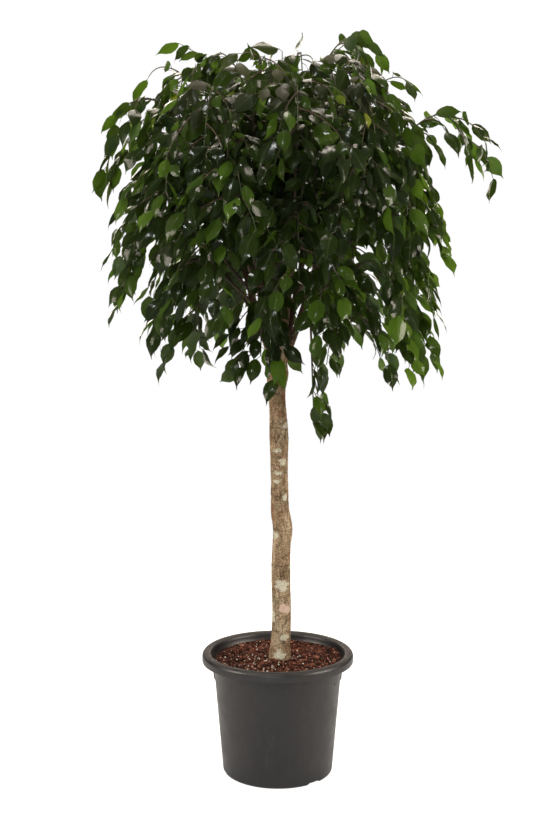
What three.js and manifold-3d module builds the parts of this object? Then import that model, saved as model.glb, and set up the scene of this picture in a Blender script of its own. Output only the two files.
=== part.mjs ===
// A weeping fig grown as a standard, a bare trunk under a round head of weeping shoots, in its nursery pot.
// Millimetres, +Z up. The origin is the middle of the pot's underside, and the tree is seen from -Y.

import * as THREE from "three";
import { mergeVertices } from "three/addons/utils/BufferGeometryUtils.js";
import Module from "manifold-3d";

const wasm = await Module();
wasm.setup();

// Pot: an injection-moulded nursery container with a rolled rim.
const POT_HEIGHT = 326;
const POT_SIDES = 30;
const POT_WALL = 3.5;
const RIM_RADIUS = 200.5;
const ROLL_RADIUS = 12.25;
const ROLL_DROP = 26;
const WALL_TOP_RADIUS = 170;
const WALL_TOP_Z = 292;
const WALL_FOOT_RADIUS = 146;
const FOOT_FILLET = 10;
const WALL_RUN = (WALL_TOP_RADIUS - WALL_FOOT_RADIUS) / (WALL_TOP_Z - FOOT_FILLET);
const FLOOR_THICKNESS = 8;
const PAD_RADIUS = 55;
const CHANNEL_RISE = 5;
const CHANNEL_OUTER_RADIUS = 113;
const NOTCH_ANGLES = [41.6, 161.6, 281.6];
const NOTCH_SIZE = { deep: 60, wide: 41, high: 5.6 };
const DRAIN_HOLES = { count: 6, first: 12, radius: 6, circle: 88, sides: 8 };
const LUG_ANGLES = [90, 270];
const LUG_SIZE = { deep: 5.5, sunk: 2, wide: 14, high: 46 };
const WIRE_HOLES = { angles: [62, 242], radius: 2.5, z: 258, sides: 8 };

// Soil: a fill that stands just under the lip and rises a little to the trunk.
const SEAT_GAP = 0.4;
const SOIL_EDGE_Z = 300;
const SOIL_MOUND = 9;
const SOIL_RINGS = [140, 85];
const SOIL_LUMP = 2.4;
const SOIL_LUMP_RUN = { x: 0.11, y: 0.093, both: 0.21, share: 0.6 };

// Trunk: the height, the centre's x and y, and the radius at each place where the stem swells, thins or leans.
const TRUNK_SIDES = 10;
const TRUNK_STATIONS = 22;
const TRUNK_SHAPE = [
  { z: 205, x: 7, y: 2, r: 27 },
  { z: 250, x: 7, y: 1, r: 36 },
  { z: 305, x: 5, y: 0, r: 30 },
  { z: 350, x: 8, y: -1, r: 26 },
  { z: 440, x: 10.6, y: -2, r: 25.2 },
  { z: 545, x: 8, y: 0, r: 25 },
  { z: 600, x: 9, y: 2, r: 23.8 },
  { z: 651, x: 13, y: 3, r: 25.6 },
  { z: 704, x: 5.4, y: 2, r: 24.6 },
  { z: 785, x: 4, y: -1, r: 22.3 },
  { z: 890, x: 2.6, y: -3, r: 24.8 },
  { z: 969, x: 0, y: -1, r: 22.3 },
  { z: 1021, x: -3.9, y: 0, r: 23.4 },
  { z: 1064, x: -1, y: 0, r: 28 },
  { z: 1104, x: 0, y: 0, r: 21 },
];

// Limbs: a leader and a ring of limbs that fork from the trunk's head. A limb is a curve with two handles, given
// as a share of the limb's spread and a height, or for the leader as points.
const LIMB_COUNT = 6;
const LIMB_SIDES = 5;
const LIMB_STEPS = 5;
const LIMB_ROOT_Z = 1066;
const LIMB_HANDLES = [{ share: 0.21, z: 1120 }, { share: 0.66, z: 1250 }];
const LIMB_END = { radius: [98, 125], z: [1415, 1475] };
const LIMB_THICKNESS = [11.5, 6];
const LIMB_FIRST_ANGLE = 22;
const LEADER = { handles: [[-6, 10, 1250], [12, -8, 1430]], top: [8, 0, 1610] };

// The stub of a leader that was cut off beside the fork.
const STUB = { root: [-5, -3, 1035], end: [-20, -7, 1102], thickness: [13, 9.5], sides: 6 };

// Shoots: tiers of arching stems. over is the height that the arch passes, and reach and tip are where its end
// hangs. spread is how much reach and tip differ from shoot to shoot, and turn is the tier's first bearing.
const TIERS = [
  { shoots: 4, over: 1860, reach: 150, tip: 1815, spread: 0.12, turn: 15 },
  { shoots: 7, over: 1830, reach: 255, tip: 1735, spread: 0.12, turn: 42 },
  { shoots: 9, over: 1760, reach: 350, tip: 1610, spread: 0.09, turn: 4 },
  { shoots: 9, over: 1630, reach: 385, tip: 1460, spread: 0.07, turn: 24 },
  { shoots: 8, over: 1480, reach: 350, tip: 1310, spread: 0.08, turn: 9 },
  { shoots: 7, over: 1325, reach: 290, tip: 1195, spread: 0.1, turn: 33 },
  { shoots: 1, over: 1150, reach: 85, tip: 960, spread: 0, turn: 50 },
];

// Shoots that stand out of the round head, by tier and bearing: the top one and the sprays at the sides.
const STRAYS = [
  { tier: 0, degrees: 96, over: 1916, reach: 205, tip: 1890 },
  { tier: 1, degrees: 262, over: 1840, reach: 320, tip: 1800 },
  { tier: 1, degrees: 88, over: 1800, reach: 275, tip: 1740 },
  { tier: 2, degrees: 281, over: 1750, reach: 375, tip: 1680 },
  { tier: 2, degrees: 84, over: 1722, reach: 472, tip: 1628 },
  { tier: 4, degrees: 100, over: 1430, reach: 350, tip: 1150 },
  { tier: 5, degrees: 345, over: 1270, reach: 165, tip: 1120 },
  { tier: 5, degrees: 290, over: 1350, reach: 275, tip: 1272 },
];
const TURN_SPREAD = 0.3;
const TIP_SPREAD = 500;
const LEADER_SHOOTS_OVER = 1850;
const ROOT_SHARES = [0.3, 0.985];
const ROOT_NUDGES = [0, -0.003, -0.006, -0.009, -0.012];
const HEAD_CENTRE_X = 8;
const HEAD_CENTRE_Z = 1450;
const STEM_LEAVE = { out: 0.35, up: 0.55, more: 20 };
const ARCH_SHARE = 0.72;
const ARCH_LEAN = 0.86;
const STEM_THICKNESS = [4.2, 1.4];
const STEM_SIDES = 3;
const STEM_STEPS = 8;

// Twigs along each shoot, shorter on a shoot of less than the full reach. TWIG_LEAVE weighs the directions that a
// twig leaves its stem in.
const TWIGS = 10;
const TWIG_PLACES = [0.34, 0.97];
const TWIG_LENGTH = [110, 190];
const TWIG_FULL_REACH = 260;
const TWIG_LEAVE = { along: 0.55, side: [0.55, 1.05], out: 0.35, up: [0, 0.3] };
const TWIG_WEEP = { bend: 0.5, end: 0.72, drop: [0.3, 0.6] };
const TWIG_THICKNESS = [1.9, 1.3];
const TWIG_SIDES = 3;
const TWIG_STEPS = 2;

// Leaves along each twig. The next three lines weigh the directions of the leaf's stalk, tip and face.
const STALK_LEAVE = { along: 0.55, side: 0.75, face: 0.2 };
const LEAF_HANG = { stalk: 0.5, along: 0.4, down: 0.6, out: 0.12, stray: 0.38 };
const LEAF_FACE = { out: 0.78, up: 0.62, stray: 0.7 };
const LEAF_SPACING = 24;
const LEAF_LAST = 0.999;
const LEAFLESS_ROOT = 20;
const LEAF_LENGTH = [60, 82];
const LEAF_WIDTH_SHARE = 0.56;
const LEAF_OUTLINE = [[0.26, 0.94], [0.64, 0.76]];
const LEAF_ARCH = 0.06;
const LEAF_FOLD = 0.2;
const LEAF_DROOP = 0.07;
const LEAF_CROWN_AT = 0.42;
const STALK_LENGTH = 13;
const STALK_HALF_WIDTH = 1.5;
const STALK_HALF_HEIGHT = 1.1;
const LEAF_THICKNESS = 1.6;

// What is modelled here of each shoot: one twig of each group, and a leaf on the stem and on each of the twigs.
// More leaves stand where the head reaches furthest. HEAD_SIZE is half its width, depth and height.
const TWIG_GROUPS = [[9, 8, 7], [6, 5, 4], [3, 2, 1, 0]];
const MORE_LEAVES = 30;
const HEAD_SIZE = [480, 450, 480];
const CLEARANCE_THICKNESS = 3;
const SOUND_GRID = 0.002;
const THINNEST_FACE = 0.006;
const CLEAN_WITHIN = 0.01;

const UP = new THREE.Vector3(0, 0, 1);

// A repeatable draw from 0 to 1 for item b of shoot a.
function draw(a, b) {
  const s = Math.sin(a * 12.9898 + b * 78.233) * 43758.5453;
  return s - Math.floor(s);
}

function between([low, high], share) {
  return low + (high - low) * share;
}

// A closed geometry as a manifold solid.
function solidOf(geometry) {
  const bare = geometry.index ? geometry.toNonIndexed() : geometry.clone();
  bare.deleteAttribute("normal");
  bare.deleteAttribute("uv");
  const merged = mergeVertices(bare, 1e-3);
  return new wasm.Manifold(
    new wasm.Mesh({
      numProp: 3,
      vertProperties: merged.attributes.position.array,
      triVerts: new Uint32Array(merged.index.array),
    }),
  );
}

// The faces of a solid, each as its three corners.
function facesOf(solid) {
  const { vertProperties: at, triVerts } = solid.getMesh();
  const corners = Array.from(triVerts, (v) => new THREE.Vector3().fromArray(at, 3 * v));
  return Array.from({ length: corners.length / 3 }, (_, i) => corners.slice(3 * i, 3 * i + 3));
}

function geometryOf(solid) {
  return new THREE.BufferGeometry().setFromPoints(facesOf(solid).flat());
}

// The smallest height of a triangle.
function faceHeight([a, b, c]) {
  const longest = Math.max(a.distanceTo(b), b.distanceTo(c), c.distanceTo(a));
  return (2 * new THREE.Triangle(a, b, c).getArea()) / longest;
}

// Whether a solid is one body whose faces still close up once its corners are rounded to a grid, with no sliver
// among them.
function isSound(solid) {
  if (solid.decompose().length !== 1) return false;
  const faces = facesOf(solid);
  if (faces.some((face) => faceHeight(face) < THINNEST_FACE)) return false;
  const edges = new Set();
  for (const face of faces) {
    const keys = face.map((corner) => corner.divideScalar(SOUND_GRID).round().toArray().join(" "));
    for (let k = 0; k < 3; k++) edges.add(`${keys[k]}>${keys[(k + 1) % 3]}`);
  }
  const isPaired = (edge) => edges.has(edge.split(">").reverse().join(">"));
  return edges.size === 3 * faces.length && [...edges].every(isPaired);
}

function largestBody(solid) {
  return solid.decompose().sort((a, b) => b.volume() - a.volume())[0];
}

function named(name, solid, material) {
  const geometry = geometryOf(solid);
  geometry.computeVertexNormals();
  const mesh = new THREE.Mesh(geometry, material);
  mesh.name = name;
  return mesh;
}

// Points and triangles of a body, as a geometry.
function bodyOf(points, faces) {
  const geometry = new THREE.BufferGeometry();
  geometry.setAttribute(
    "position",
    new THREE.BufferAttribute(new Float32Array(points.flatMap((p) => [p.x, p.y, p.z])), 3),
  );
  geometry.setIndex(faces);
  return geometry;
}

// A round stem along a curve, with its thickness given at each share of its length, closed at both ends.
function stemAlong(curve, sides, steps, thickness) {
  const frames = curve.computeFrenetFrames(steps);
  const points = [];
  const faces = [];
  for (let i = 0; i <= steps; i++) {
    const centre = curve.getPointAt(i / steps);
    for (let k = 0; k < sides; k++) {
      const angle = (2 * Math.PI * k) / sides;
      const out = frames.normals[i]
        .clone()
        .multiplyScalar(Math.cos(angle))
        .addScaledVector(frames.binormals[i], Math.sin(angle));
      points.push(centre.clone().addScaledVector(out, thickness(i / steps)));
    }
  }
  for (let i = 0; i < steps; i++) {
    for (let k = 0; k < sides; k++) {
      const a = i * sides + k;
      const b = i * sides + ((k + 1) % sides);
      faces.push(a, b, a + sides, b, b + sides, a + sides);
    }
  }
  const last = steps * sides;
  for (let k = 1; k < sides - 1; k++) {
    faces.push(0, k + 1, k, last, last + k, last + k + 1);
  }
  return solidOf(bodyOf(points, faces));
}

// A direction from the axis, counted from the side the tree is seen from, towards +X.
function bearing(degrees) {
  const angle = THREE.MathUtils.degToRad(degrees);
  return new THREE.Vector3(Math.sin(angle), -Math.cos(angle), 0);
}

// A solid centred on the axis is carried out to a radius and height, and turned to face its bearing.
function placedAt(geometry, degrees, radius, z) {
  geometry.rotateZ(THREE.MathUtils.degToRad(degrees));
  const out = bearing(degrees).multiplyScalar(radius);
  return solidOf(geometry.translate(out.x, out.y, z));
}

// The wall's outer radius at a height.
function wallRadiusAt(z) {
  return WALL_FOOT_RADIUS + WALL_RUN * (z - FOOT_FILLET);
}

function potProfile() {
  const rollX = RIM_RADIUS - ROLL_RADIUS;
  const rollZ = POT_HEIGHT - ROLL_RADIUS;
  const inner = ROLL_RADIUS - POT_WALL;
  const rimEdgeZ = POT_HEIGHT - ROLL_DROP;
  const onRoll = (radius, degrees) => {
    const angle = THREE.MathUtils.degToRad(degrees);
    return [rollX + radius * Math.cos(angle), rollZ + radius * Math.sin(angle)];
  };
  const filletCorner = FOOT_FILLET * (1 - Math.SQRT1_2);
  return [
    [0, 0],
    [PAD_RADIUS, 0],
    [PAD_RADIUS + CHANNEL_RISE, CHANNEL_RISE],
    [CHANNEL_OUTER_RADIUS, CHANNEL_RISE],
    [CHANNEL_OUTER_RADIUS + CHANNEL_RISE, 0],
    [WALL_FOOT_RADIUS - FOOT_FILLET, 0],
    [WALL_FOOT_RADIUS - filletCorner, filletCorner],
    [WALL_FOOT_RADIUS, FOOT_FILLET],
    [WALL_TOP_RADIUS, WALL_TOP_Z],
    onRoll(inner, 180),
    onRoll(inner, 90),
    onRoll(inner, 0),
    [RIM_RADIUS - POT_WALL, rimEdgeZ],
    [RIM_RADIUS, rimEdgeZ],
    ...[0, 45, 90, 135, 180].map((degrees) => onRoll(ROLL_RADIUS, degrees)),
    [WALL_TOP_RADIUS - POT_WALL, WALL_TOP_Z],
    [WALL_FOOT_RADIUS - POT_WALL, FOOT_FILLET],
    [WALL_FOOT_RADIUS - FOOT_FILLET, FLOOR_THICKNESS],
    [0, FLOOR_THICKNESS],
  ];
}

function lathed(profile, sides) {
  const geometry = new THREE.LatheGeometry(
    profile.map(([r, z]) => new THREE.Vector2(r, z)),
    sides,
  );
  return geometry.rotateX(Math.PI / 2);
}

function makePot() {
  let pot = solidOf(lathed(potProfile(), POT_SIDES));
  for (const degrees of LUG_ANGLES) {
    const { deep, sunk, wide, high } = LUG_SIZE;
    const z = WALL_TOP_Z + sunk - high / 2;
    const lug = new THREE.BoxGeometry(wide, deep, high).rotateX(Math.atan(WALL_RUN));
    pot = pot.add(placedAt(lug, degrees, wallRadiusAt(z) + deep / 2 - sunk, z));
  }
  for (const degrees of NOTCH_ANGLES) {
    const { deep, wide, high } = NOTCH_SIZE;
    pot = pot.subtract(placedAt(new THREE.BoxGeometry(wide, deep, 2 * high), degrees, WALL_FOOT_RADIUS, 0));
  }
  for (let i = 0; i < DRAIN_HOLES.count; i++) {
    const { count, first, radius, circle, sides } = DRAIN_HOLES;
    const hole = new THREE.CylinderGeometry(radius, radius, 4 * FLOOR_THICKNESS, sides).rotateX(Math.PI / 2);
    pot = pot.subtract(placedAt(hole, first + (360 * i) / count, circle, 0));
  }
  for (const degrees of WIRE_HOLES.angles) {
    const { radius, z, sides } = WIRE_HOLES;
    const hole = new THREE.CylinderGeometry(radius, radius, 10 * POT_WALL, sides);
    pot = pot.subtract(placedAt(hole, degrees, WALL_TOP_RADIUS, z));
  }
  return largestBody(pot);
}

function trunkSpine(slack) {
  const curve = new THREE.CatmullRomCurve3(TRUNK_SHAPE.map(({ x, y, z }) => new THREE.Vector3(x, y, z)));
  const heights = TRUNK_SHAPE.map(({ z }) => z);
  const radiusAt = (share) => {
    const { z } = curve.getPointAt(share);
    const i = Math.max(1, heights.findIndex((h) => h >= z - 1e-6));
    const low = TRUNK_SHAPE[i - 1];
    const high = TRUNK_SHAPE[i];
    const t = THREE.MathUtils.smoothstep(z, low.z, high.z);
    return low.r + (high.r - low.r) * t + slack;
  };
  return { curve, radiusAt };
}

// Limb 0 is the leader. The others fan out around it, each bowed outwards.
function limbCurve(index) {
  const root = new THREE.Vector3(0, 0, LIMB_ROOT_Z);
  if (index === 0) {
    const points = [...LEADER.handles, LEADER.top].map((at) => new THREE.Vector3(...at));
    return new THREE.CubicBezierCurve3(root, ...points);
  }
  const out = bearing(LIMB_FIRST_ANGLE + (360 * (index - 1)) / LIMB_COUNT);
  const radius = between(LIMB_END.radius, draw(index, 900));
  const handles = LIMB_HANDLES.map(({ share, z }) => out.clone().multiplyScalar(share * radius).setZ(z));
  const end = out.clone().multiplyScalar(radius).setZ(between(LIMB_END.z, draw(index, 901)));
  return new THREE.CubicBezierCurve3(root, ...handles, end);
}

function makeWood(slack) {
  const { curve, radiusAt } = trunkSpine(slack);
  let wood = stemAlong(curve, TRUNK_SIDES, TRUNK_STATIONS, radiusAt);
  const cut = new THREE.LineCurve3(new THREE.Vector3(...STUB.root), new THREE.Vector3(...STUB.end));
  wood = wood.add(stemAlong(cut, STUB.sides, 1, (t) => between(STUB.thickness, t) + slack));
  for (let i = 0; i <= LIMB_COUNT; i++) {
    const thickness = (t) => between(LIMB_THICKNESS, t) + slack;
    wood = wood.add(stemAlong(limbCurve(i), LIMB_SIDES, LIMB_STEPS, thickness));
  }
  return wood;
}

function makeSoil(wood) {
  const inside = POT_WALL + 2 * SEAT_GAP;
  const profile = [
    [0, FLOOR_THICKNESS + SEAT_GAP],
    [WALL_FOOT_RADIUS - FOOT_FILLET - SEAT_GAP, FLOOR_THICKNESS + SEAT_GAP],
    [WALL_FOOT_RADIUS - inside, FOOT_FILLET + SEAT_GAP],
    [WALL_TOP_RADIUS - inside, WALL_TOP_Z],
    [WALL_TOP_RADIUS - inside + 2, SOIL_EDGE_Z],
    ...SOIL_RINGS.map((r) => [r, SOIL_EDGE_Z + SOIL_MOUND * (1 - r / WALL_TOP_RADIUS)]),
    [0, SOIL_EDGE_Z + SOIL_MOUND],
  ];
  const geometry = lathed(profile, POT_SIDES);
  const at = geometry.attributes.position;
  const run = SOIL_LUMP_RUN;
  for (let i = 0; i < at.count; i++) {
    const [x, y, z] = [at.getX(i), at.getY(i), at.getZ(i)];
    if (z > SOIL_EDGE_Z + 0.5) {
      const lumps = Math.sin(run.x * x) * Math.cos(run.y * y) + run.share * Math.sin(run.both * (x - y));
      at.setZ(i, z + SOIL_LUMP * lumps);
    }
  }
  return solidOf(geometry).subtract(wood);
}

// The limb that a shoot grows from: the leader carries the top ones, and the others leave the nearest limb.
function limbFor(plan) {
  if (plan.over > LEADER_SHOOTS_OVER) return 0;
  const turned = (plan.degrees - LIMB_FIRST_ANGLE + 720) % 360;
  return 1 + (Math.round((turned * LIMB_COUNT) / 360) % LIMB_COUNT);
}

// Every shoot: the limb it leaves, the place of its root there, and the arch it follows.
function shootPlans() {
  const plans = [];
  for (const [rank, tier] of TIERS.entries()) {
    for (let i = 0; i < tier.shoots; i++) {
      const id = plans.length + 1;
      plans.push({
        id,
        tier: rank,
        degrees: tier.turn + (360 * (i + TURN_SPREAD * (draw(id, 1) - 0.5))) / tier.shoots,
        over: tier.over,
        reach: tier.reach * (1 + tier.spread * (2 * draw(id, 2) - 1)),
        tip: tier.tip + TIP_SPREAD * tier.spread * (draw(id, 3) - 0.5),
      });
    }
  }
  for (const { tier, degrees, ...reached } of STRAYS) {
    const away = (plan) => Math.abs(((plan.degrees - degrees + 540) % 360) - 180);
    const [nearest] = plans.filter((plan) => plan.tier === tier).sort((a, b) => away(a) - away(b));
    Object.assign(nearest, reached);
  }
  for (let limb = 0; limb <= LIMB_COUNT; limb++) {
    const here = plans.filter((plan) => limbFor(plan) === limb);
    here.sort((a, b) => a.over - b.over || a.id - b.id);
    here.forEach((plan, rank) => {
      plan.limb = limb;
      plan.root = between(ROOT_SHARES, (rank + 1) / here.length);
    });
  }
  return plans;
}

// An arch whose second handle is set so that the stem passes the planned height at ARCH_SHARE.
function stemCurve(plan) {
  const root = limbCurve(plan.limb).getPointAt(plan.root);
  const out = bearing(plan.degrees);
  const centre = new THREE.Vector3(HEAD_CENTRE_X, 0, 0);
  const at = (radius, z) => centre.clone().addScaledVector(out, radius).setZ(z);
  const rise = Math.max(plan.over - root.z, 0);
  const first = root.clone().addScaledVector(out, STEM_LEAVE.out * plan.reach);
  first.z += STEM_LEAVE.up * rise + STEM_LEAVE.more;
  const [t, u] = [ARCH_SHARE, 1 - ARCH_SHARE];
  const rest = u ** 3 * root.z + 3 * t * u * u * first.z + t ** 3 * plan.tip;
  const handle = at(ARCH_LEAN * plan.reach, (plan.over - rest) / (3 * t * t * u));
  return new THREE.CubicBezierCurve3(root, first, handle, at(plan.reach, plan.tip));
}

// The direction straight out from the head's axis at a point.
function outwardAt(point) {
  const out = new THREE.Vector3(point.x - HEAD_CENTRE_X, point.y, 0);
  return out.lengthSq() > 1 ? out.normalize() : new THREE.Vector3(0, -1, 0);
}

// Twig j of a shoot: it leaves the stem sideways, on one side and then the other, and weeps.
function twigCurve({ id, reach }, stem, j) {
  const along = between(TWIG_PLACES, (j + 0.5 * draw(id, 10 + j)) / TWIGS);
  const root = stem.getPointAt(along);
  const out = outwardAt(root);
  const side = new THREE.Vector3().crossVectors(UP, out).multiplyScalar(j % 2 ? -1 : 1);
  const length = between(TWIG_LENGTH, draw(id, 30 + j)) * Math.min(1, reach / TWIG_FULL_REACH);
  const leave = stem
    .getTangentAt(along)
    .multiplyScalar(TWIG_LEAVE.along)
    .addScaledVector(side, between(TWIG_LEAVE.side, draw(id, 50 + j)))
    .addScaledVector(out, TWIG_LEAVE.out)
    .addScaledVector(UP, between(TWIG_LEAVE.up, draw(id, 70 + j)))
    .normalize();
  const bend = root.clone().addScaledVector(leave, TWIG_WEEP.bend * length);
  const end = root.clone().addScaledVector(leave, TWIG_WEEP.end * length);
  end.z -= length * between(TWIG_WEEP.drop, draw(id, 90 + j));
  return new THREE.QuadraticBezierCurve3(root, bend, end);
}

// How far out a point lies in the head, as a share of the head's size.
function farOut({ x, y, z }) {
  const [wide, deep, high] = HEAD_SIZE;
  return Math.hypot((x - HEAD_CENTRE_X) / wide, y / deep, (z - HEAD_CENTRE_Z) / high);
}

// Where leaf k of a twig sits and how it hangs. along is the leaf's place on the twig, from 0 to 1.
function leafPlan(seed, curve, along, k) {
  const base = curve.getPointAt(along);
  const run = curve.getTangentAt(along);
  const out = outwardAt(base);
  const drawn = (n) => draw(seed, 200 + 7 * k + n);
  const stray = (n) => new THREE.Vector3(drawn(n), drawn(n + 1), drawn(n + 2)).multiplyScalar(2).subScalar(1);
  const face = out.clone().add(UP);
  face.addScaledVector(run, -face.dot(run)).normalize();
  const across = new THREE.Vector3().crossVectors(run, face).multiplyScalar(k % 2 ? -1 : 1);
  const stalk = run
    .clone()
    .multiplyScalar(STALK_LEAVE.along)
    .addScaledVector(across, STALK_LEAVE.side)
    .addScaledVector(face, STALK_LEAVE.face)
    .normalize();
  const axis = stalk
    .clone()
    .multiplyScalar(LEAF_HANG.stalk)
    .addScaledVector(run, LEAF_HANG.along)
    .addScaledVector(UP, -LEAF_HANG.down)
    .addScaledVector(out, LEAF_HANG.out)
    .addScaledVector(stray(0), LEAF_HANG.stray)
    .normalize();
  const normal = out
    .clone()
    .multiplyScalar(LEAF_FACE.out)
    .addScaledVector(UP, LEAF_FACE.up)
    .addScaledVector(stray(3), LEAF_FACE.stray);
  normal.addScaledVector(axis, -normal.dot(axis)).normalize();
  return { base, stalk, axis, normal, length: between(LEAF_LENGTH, drawn(6)) };
}

// A leaf: a stalk that starts as an upright edge, bends at the neck, and carries an ovate blade that is folded on
// its midrib, droops and ends in a drip tip.
function leafSolid({ base, stalk, axis, normal, length }, thickness) {
  const across = new THREE.Vector3().crossVectors(axis, normal);
  const neck = base.clone().addScaledVector(stalk, STALK_LENGTH);
  const halfWidth = 0.5 * LEAF_WIDTH_SHARE * length;
  const place = (u, v, w) =>
    neck.clone().addScaledVector(axis, u * length).addScaledVector(across, v).addScaledVector(normal, w);
  const edge = (u, width, side) => {
    const v = side * width * halfWidth;
    return place(u, v, LEAF_ARCH * length * Math.sin(Math.PI * u) - LEAF_FOLD * Math.abs(v));
  };
  const left = LEAF_OUTLINE.map(([u, width]) => edge(u, width, -1));
  const right = LEAF_OUTLINE.map(([u, width]) => edge(u, width, 1)).reverse();
  const tip = place(1, 0, -LEAF_DROOP * length);
  const rim = [place(0, -STALK_HALF_WIDTH, 0), ...left, tip, ...right, place(0, STALK_HALF_WIDTH, 0)];
  const upright = new THREE.Vector3().crossVectors(across, stalk).setLength(STALK_HALF_HEIGHT);
  const roots = [base.clone().add(upright), base.clone().sub(upright)];
  const crown = LEAF_ARCH * length;
  const middles = [1, -1].map((face) => place(LEAF_CROWN_AT, 0, crown + (face * thickness) / 2));
  const bend = normal.clone().addScaledVector(upright, 1 / STALK_HALF_HEIGHT).setLength(STALK_HALF_HEIGHT);
  const last = rim.length - 1;
  const [above, below, top, under, keel] = [1, 2, 3, 4, 5].map((i) => last + i);
  const faces = [above, last, 0, last, above, below, above, 0, below];
  faces.push(keel, last, below, 0, keel, below);
  faces.push(0, last, top, last, keel, under, keel, 0, under);
  for (let i = 0; i < last; i++) faces.push(i + 1, i, top, i, i + 1, under);
  return solidOf(bodyOf([...rim, ...roots, ...middles, neck.clone().sub(bend)], faces));
}

function boxesMeet(a, b) {
  return [0, 1, 2].every((i) => a.min[i] < b.max[i] && b.min[i] < a.max[i]);
}

// The solids that stand already, with the test that keeps a new leaf or stem clear of them.
const standing = [];

function stand(solid) {
  standing.push({ solid, box: solid.boundingBox() });
}

function isClear(solid, but = []) {
  const box = solid.boundingBox();
  return standing.every(
    (other) =>
      but.includes(other.solid) || !boxesMeet(box, other.box) || solid.intersect(other.solid).isEmpty(),
  );
}

// The places for leaves along a twig, its tip first.
function leafPlaces(curve) {
  const length = curve.getLength();
  const places = [];
  for (let k = 0; k * LEAF_SPACING <= length - LEAFLESS_ROOT; k++) {
    places.push({ k, along: LEAF_LAST - (k * LEAF_SPACING) / length });
  }
  return places;
}

// The same curve with its shares counted by its handles, so that a tight bend gets more of the steps.
function byHandles(curve) {
  const twin = curve.clone();
  twin.getPointAt = twin.getPoint;
  twin.getTangentAt = twin.getTangent;
  return twin;
}

// A stem cut where it meets the wood. Its root is nudged along the limb where the cut would leave a sliver.
function makeStem(plan, wood) {
  for (const nudge of ROOT_NUDGES) {
    const stem = stemCurve({ ...plan, root: plan.root + nudge });
    const whole = stemAlong(byHandles(stem), STEM_SIDES, STEM_STEPS, (t) => between(STEM_THICKNESS, t));
    const body = largestBody(whole.subtract(wood).simplify(CLEAN_WITHIN));
    if (isSound(body) && isClear(body, [wood])) return { stem, body };
  }
  throw new Error(`the stem of shoot ${plan.id} has no room`);
}

// A shoot without its leaves: the stem, and of each group of twigs the furthest out that is clear of the other
// shoots.
function makeSkeleton(plan, wood) {
  const { id } = plan;
  const { stem, body: stemBody } = makeStem(plan, wood);
  let body = stemBody;
  const twigs = [{ curve: stem, seed: 100 * id }];
  for (const group of TWIG_GROUPS) {
    const curves = group.map((j) => ({ curve: twigCurve(plan, stem, j), seed: 100 * id + 1 + j }));
    curves.sort((a, b) => farOut(b.curve.v2) - farOut(a.curve.v2));
    for (const { curve, seed } of curves) {
      const solid = stemAlong(curve, TWIG_SIDES, TWIG_STEPS, (t) => between(TWIG_THICKNESS, t));
      const grown = body.add(solid).simplify(CLEAN_WITHIN);
      if (!isClear(solid) || !isSound(grown)) continue;
      body = grown;
      twigs.push({ curve, seed });
      break;
    }
  }
  stand(body);
  return { id, twigs, bare: body, body, spare: [] };
}

// A leaf is added where it is clear of all that stands. The result says whether it was.
function addLeaf(shoot, leaf) {
  if (!isClear(leafSolid(leaf, CLEARANCE_THICKNESS), [shoot.bare])) return false;
  const solid = leafSolid(leaf, LEAF_THICKNESS);
  const grown = shoot.body.add(solid).simplify(CLEAN_WITHIN);
  if (!isSound(grown)) return false;
  shoot.body = grown;
  stand(solid);
  return true;
}

// The stem and each twig get the leaf nearest the tip that is clear. Those nearer the root are kept to spare.
function addFirstLeaves(shoot) {
  for (const { curve, seed } of shoot.twigs) {
    const leaves = leafPlaces(curve).map(({ k, along }) => leafPlan(seed, curve, along, k));
    const first = leaves.findIndex((leaf) => addLeaf(shoot, leaf));
    shoot.spare.push(...leaves.slice(first + 1).map((leaf) => ({ shoot, leaf })));
  }
}

// Of the spare leaves, those that lie furthest out in the head.
function addMoreLeaves(shoots) {
  const tip = ({ base, axis, length }) => base.clone().addScaledVector(axis, length);
  const spare = shoots.flatMap((shoot) => shoot.spare);
  spare.sort((a, b) => farOut(tip(b.leaf)) - farOut(tip(a.leaf)));
  let left = MORE_LEAVES;
  for (const { shoot, leaf } of spare) {
    if (left > 0 && addLeaf(shoot, leaf)) left -= 1;
  }
}

const plastic = new THREE.MeshStandardMaterial({ color: 0x3e3e40, roughness: 0.55, metalness: 0 });
const mould = new THREE.MeshStandardMaterial({ color: 0x4a2a22, roughness: 0.95, metalness: 0 });
const bark = new THREE.MeshStandardMaterial({ color: 0x8f7a5e, roughness: 0.85, metalness: 0 });
const foliage = new THREE.MeshStandardMaterial({ color: 0x2f4a24, roughness: 0.4, metalness: 0 });

const fig = new THREE.Group();
const clearWood = makeWood(SEAT_GAP);
stand(clearWood);
fig.add(named("pot", makePot(), plastic));
fig.add(named("soil", makeSoil(clearWood), mould));
fig.add(named("trunk", makeWood(0), bark));
const shoots = shootPlans().map((plan) => makeSkeleton(plan, clearWood));
shoots.forEach(addFirstLeaves);
addMoreLeaves(shoots);
for (const { id, body } of shoots) {
  fig.add(named(`leafy_shoot_${String(id).padStart(2, "0")}`, largestBody(body), foliage));
}

export default fig;
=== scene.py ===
# %% [markdown]
# # A weeping fig grown as a standard
# The object is a small tree in its nursery pot: a bare trunk, a round head of arching shoots that weep,
# and a grey plastic pot with soil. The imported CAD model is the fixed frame. Each of its parts is replaced
# here by a finer piece that keeps the same form and place, because leaves, bark and soil need far more
# detail than solids for machines should carry.

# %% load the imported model
import math

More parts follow.
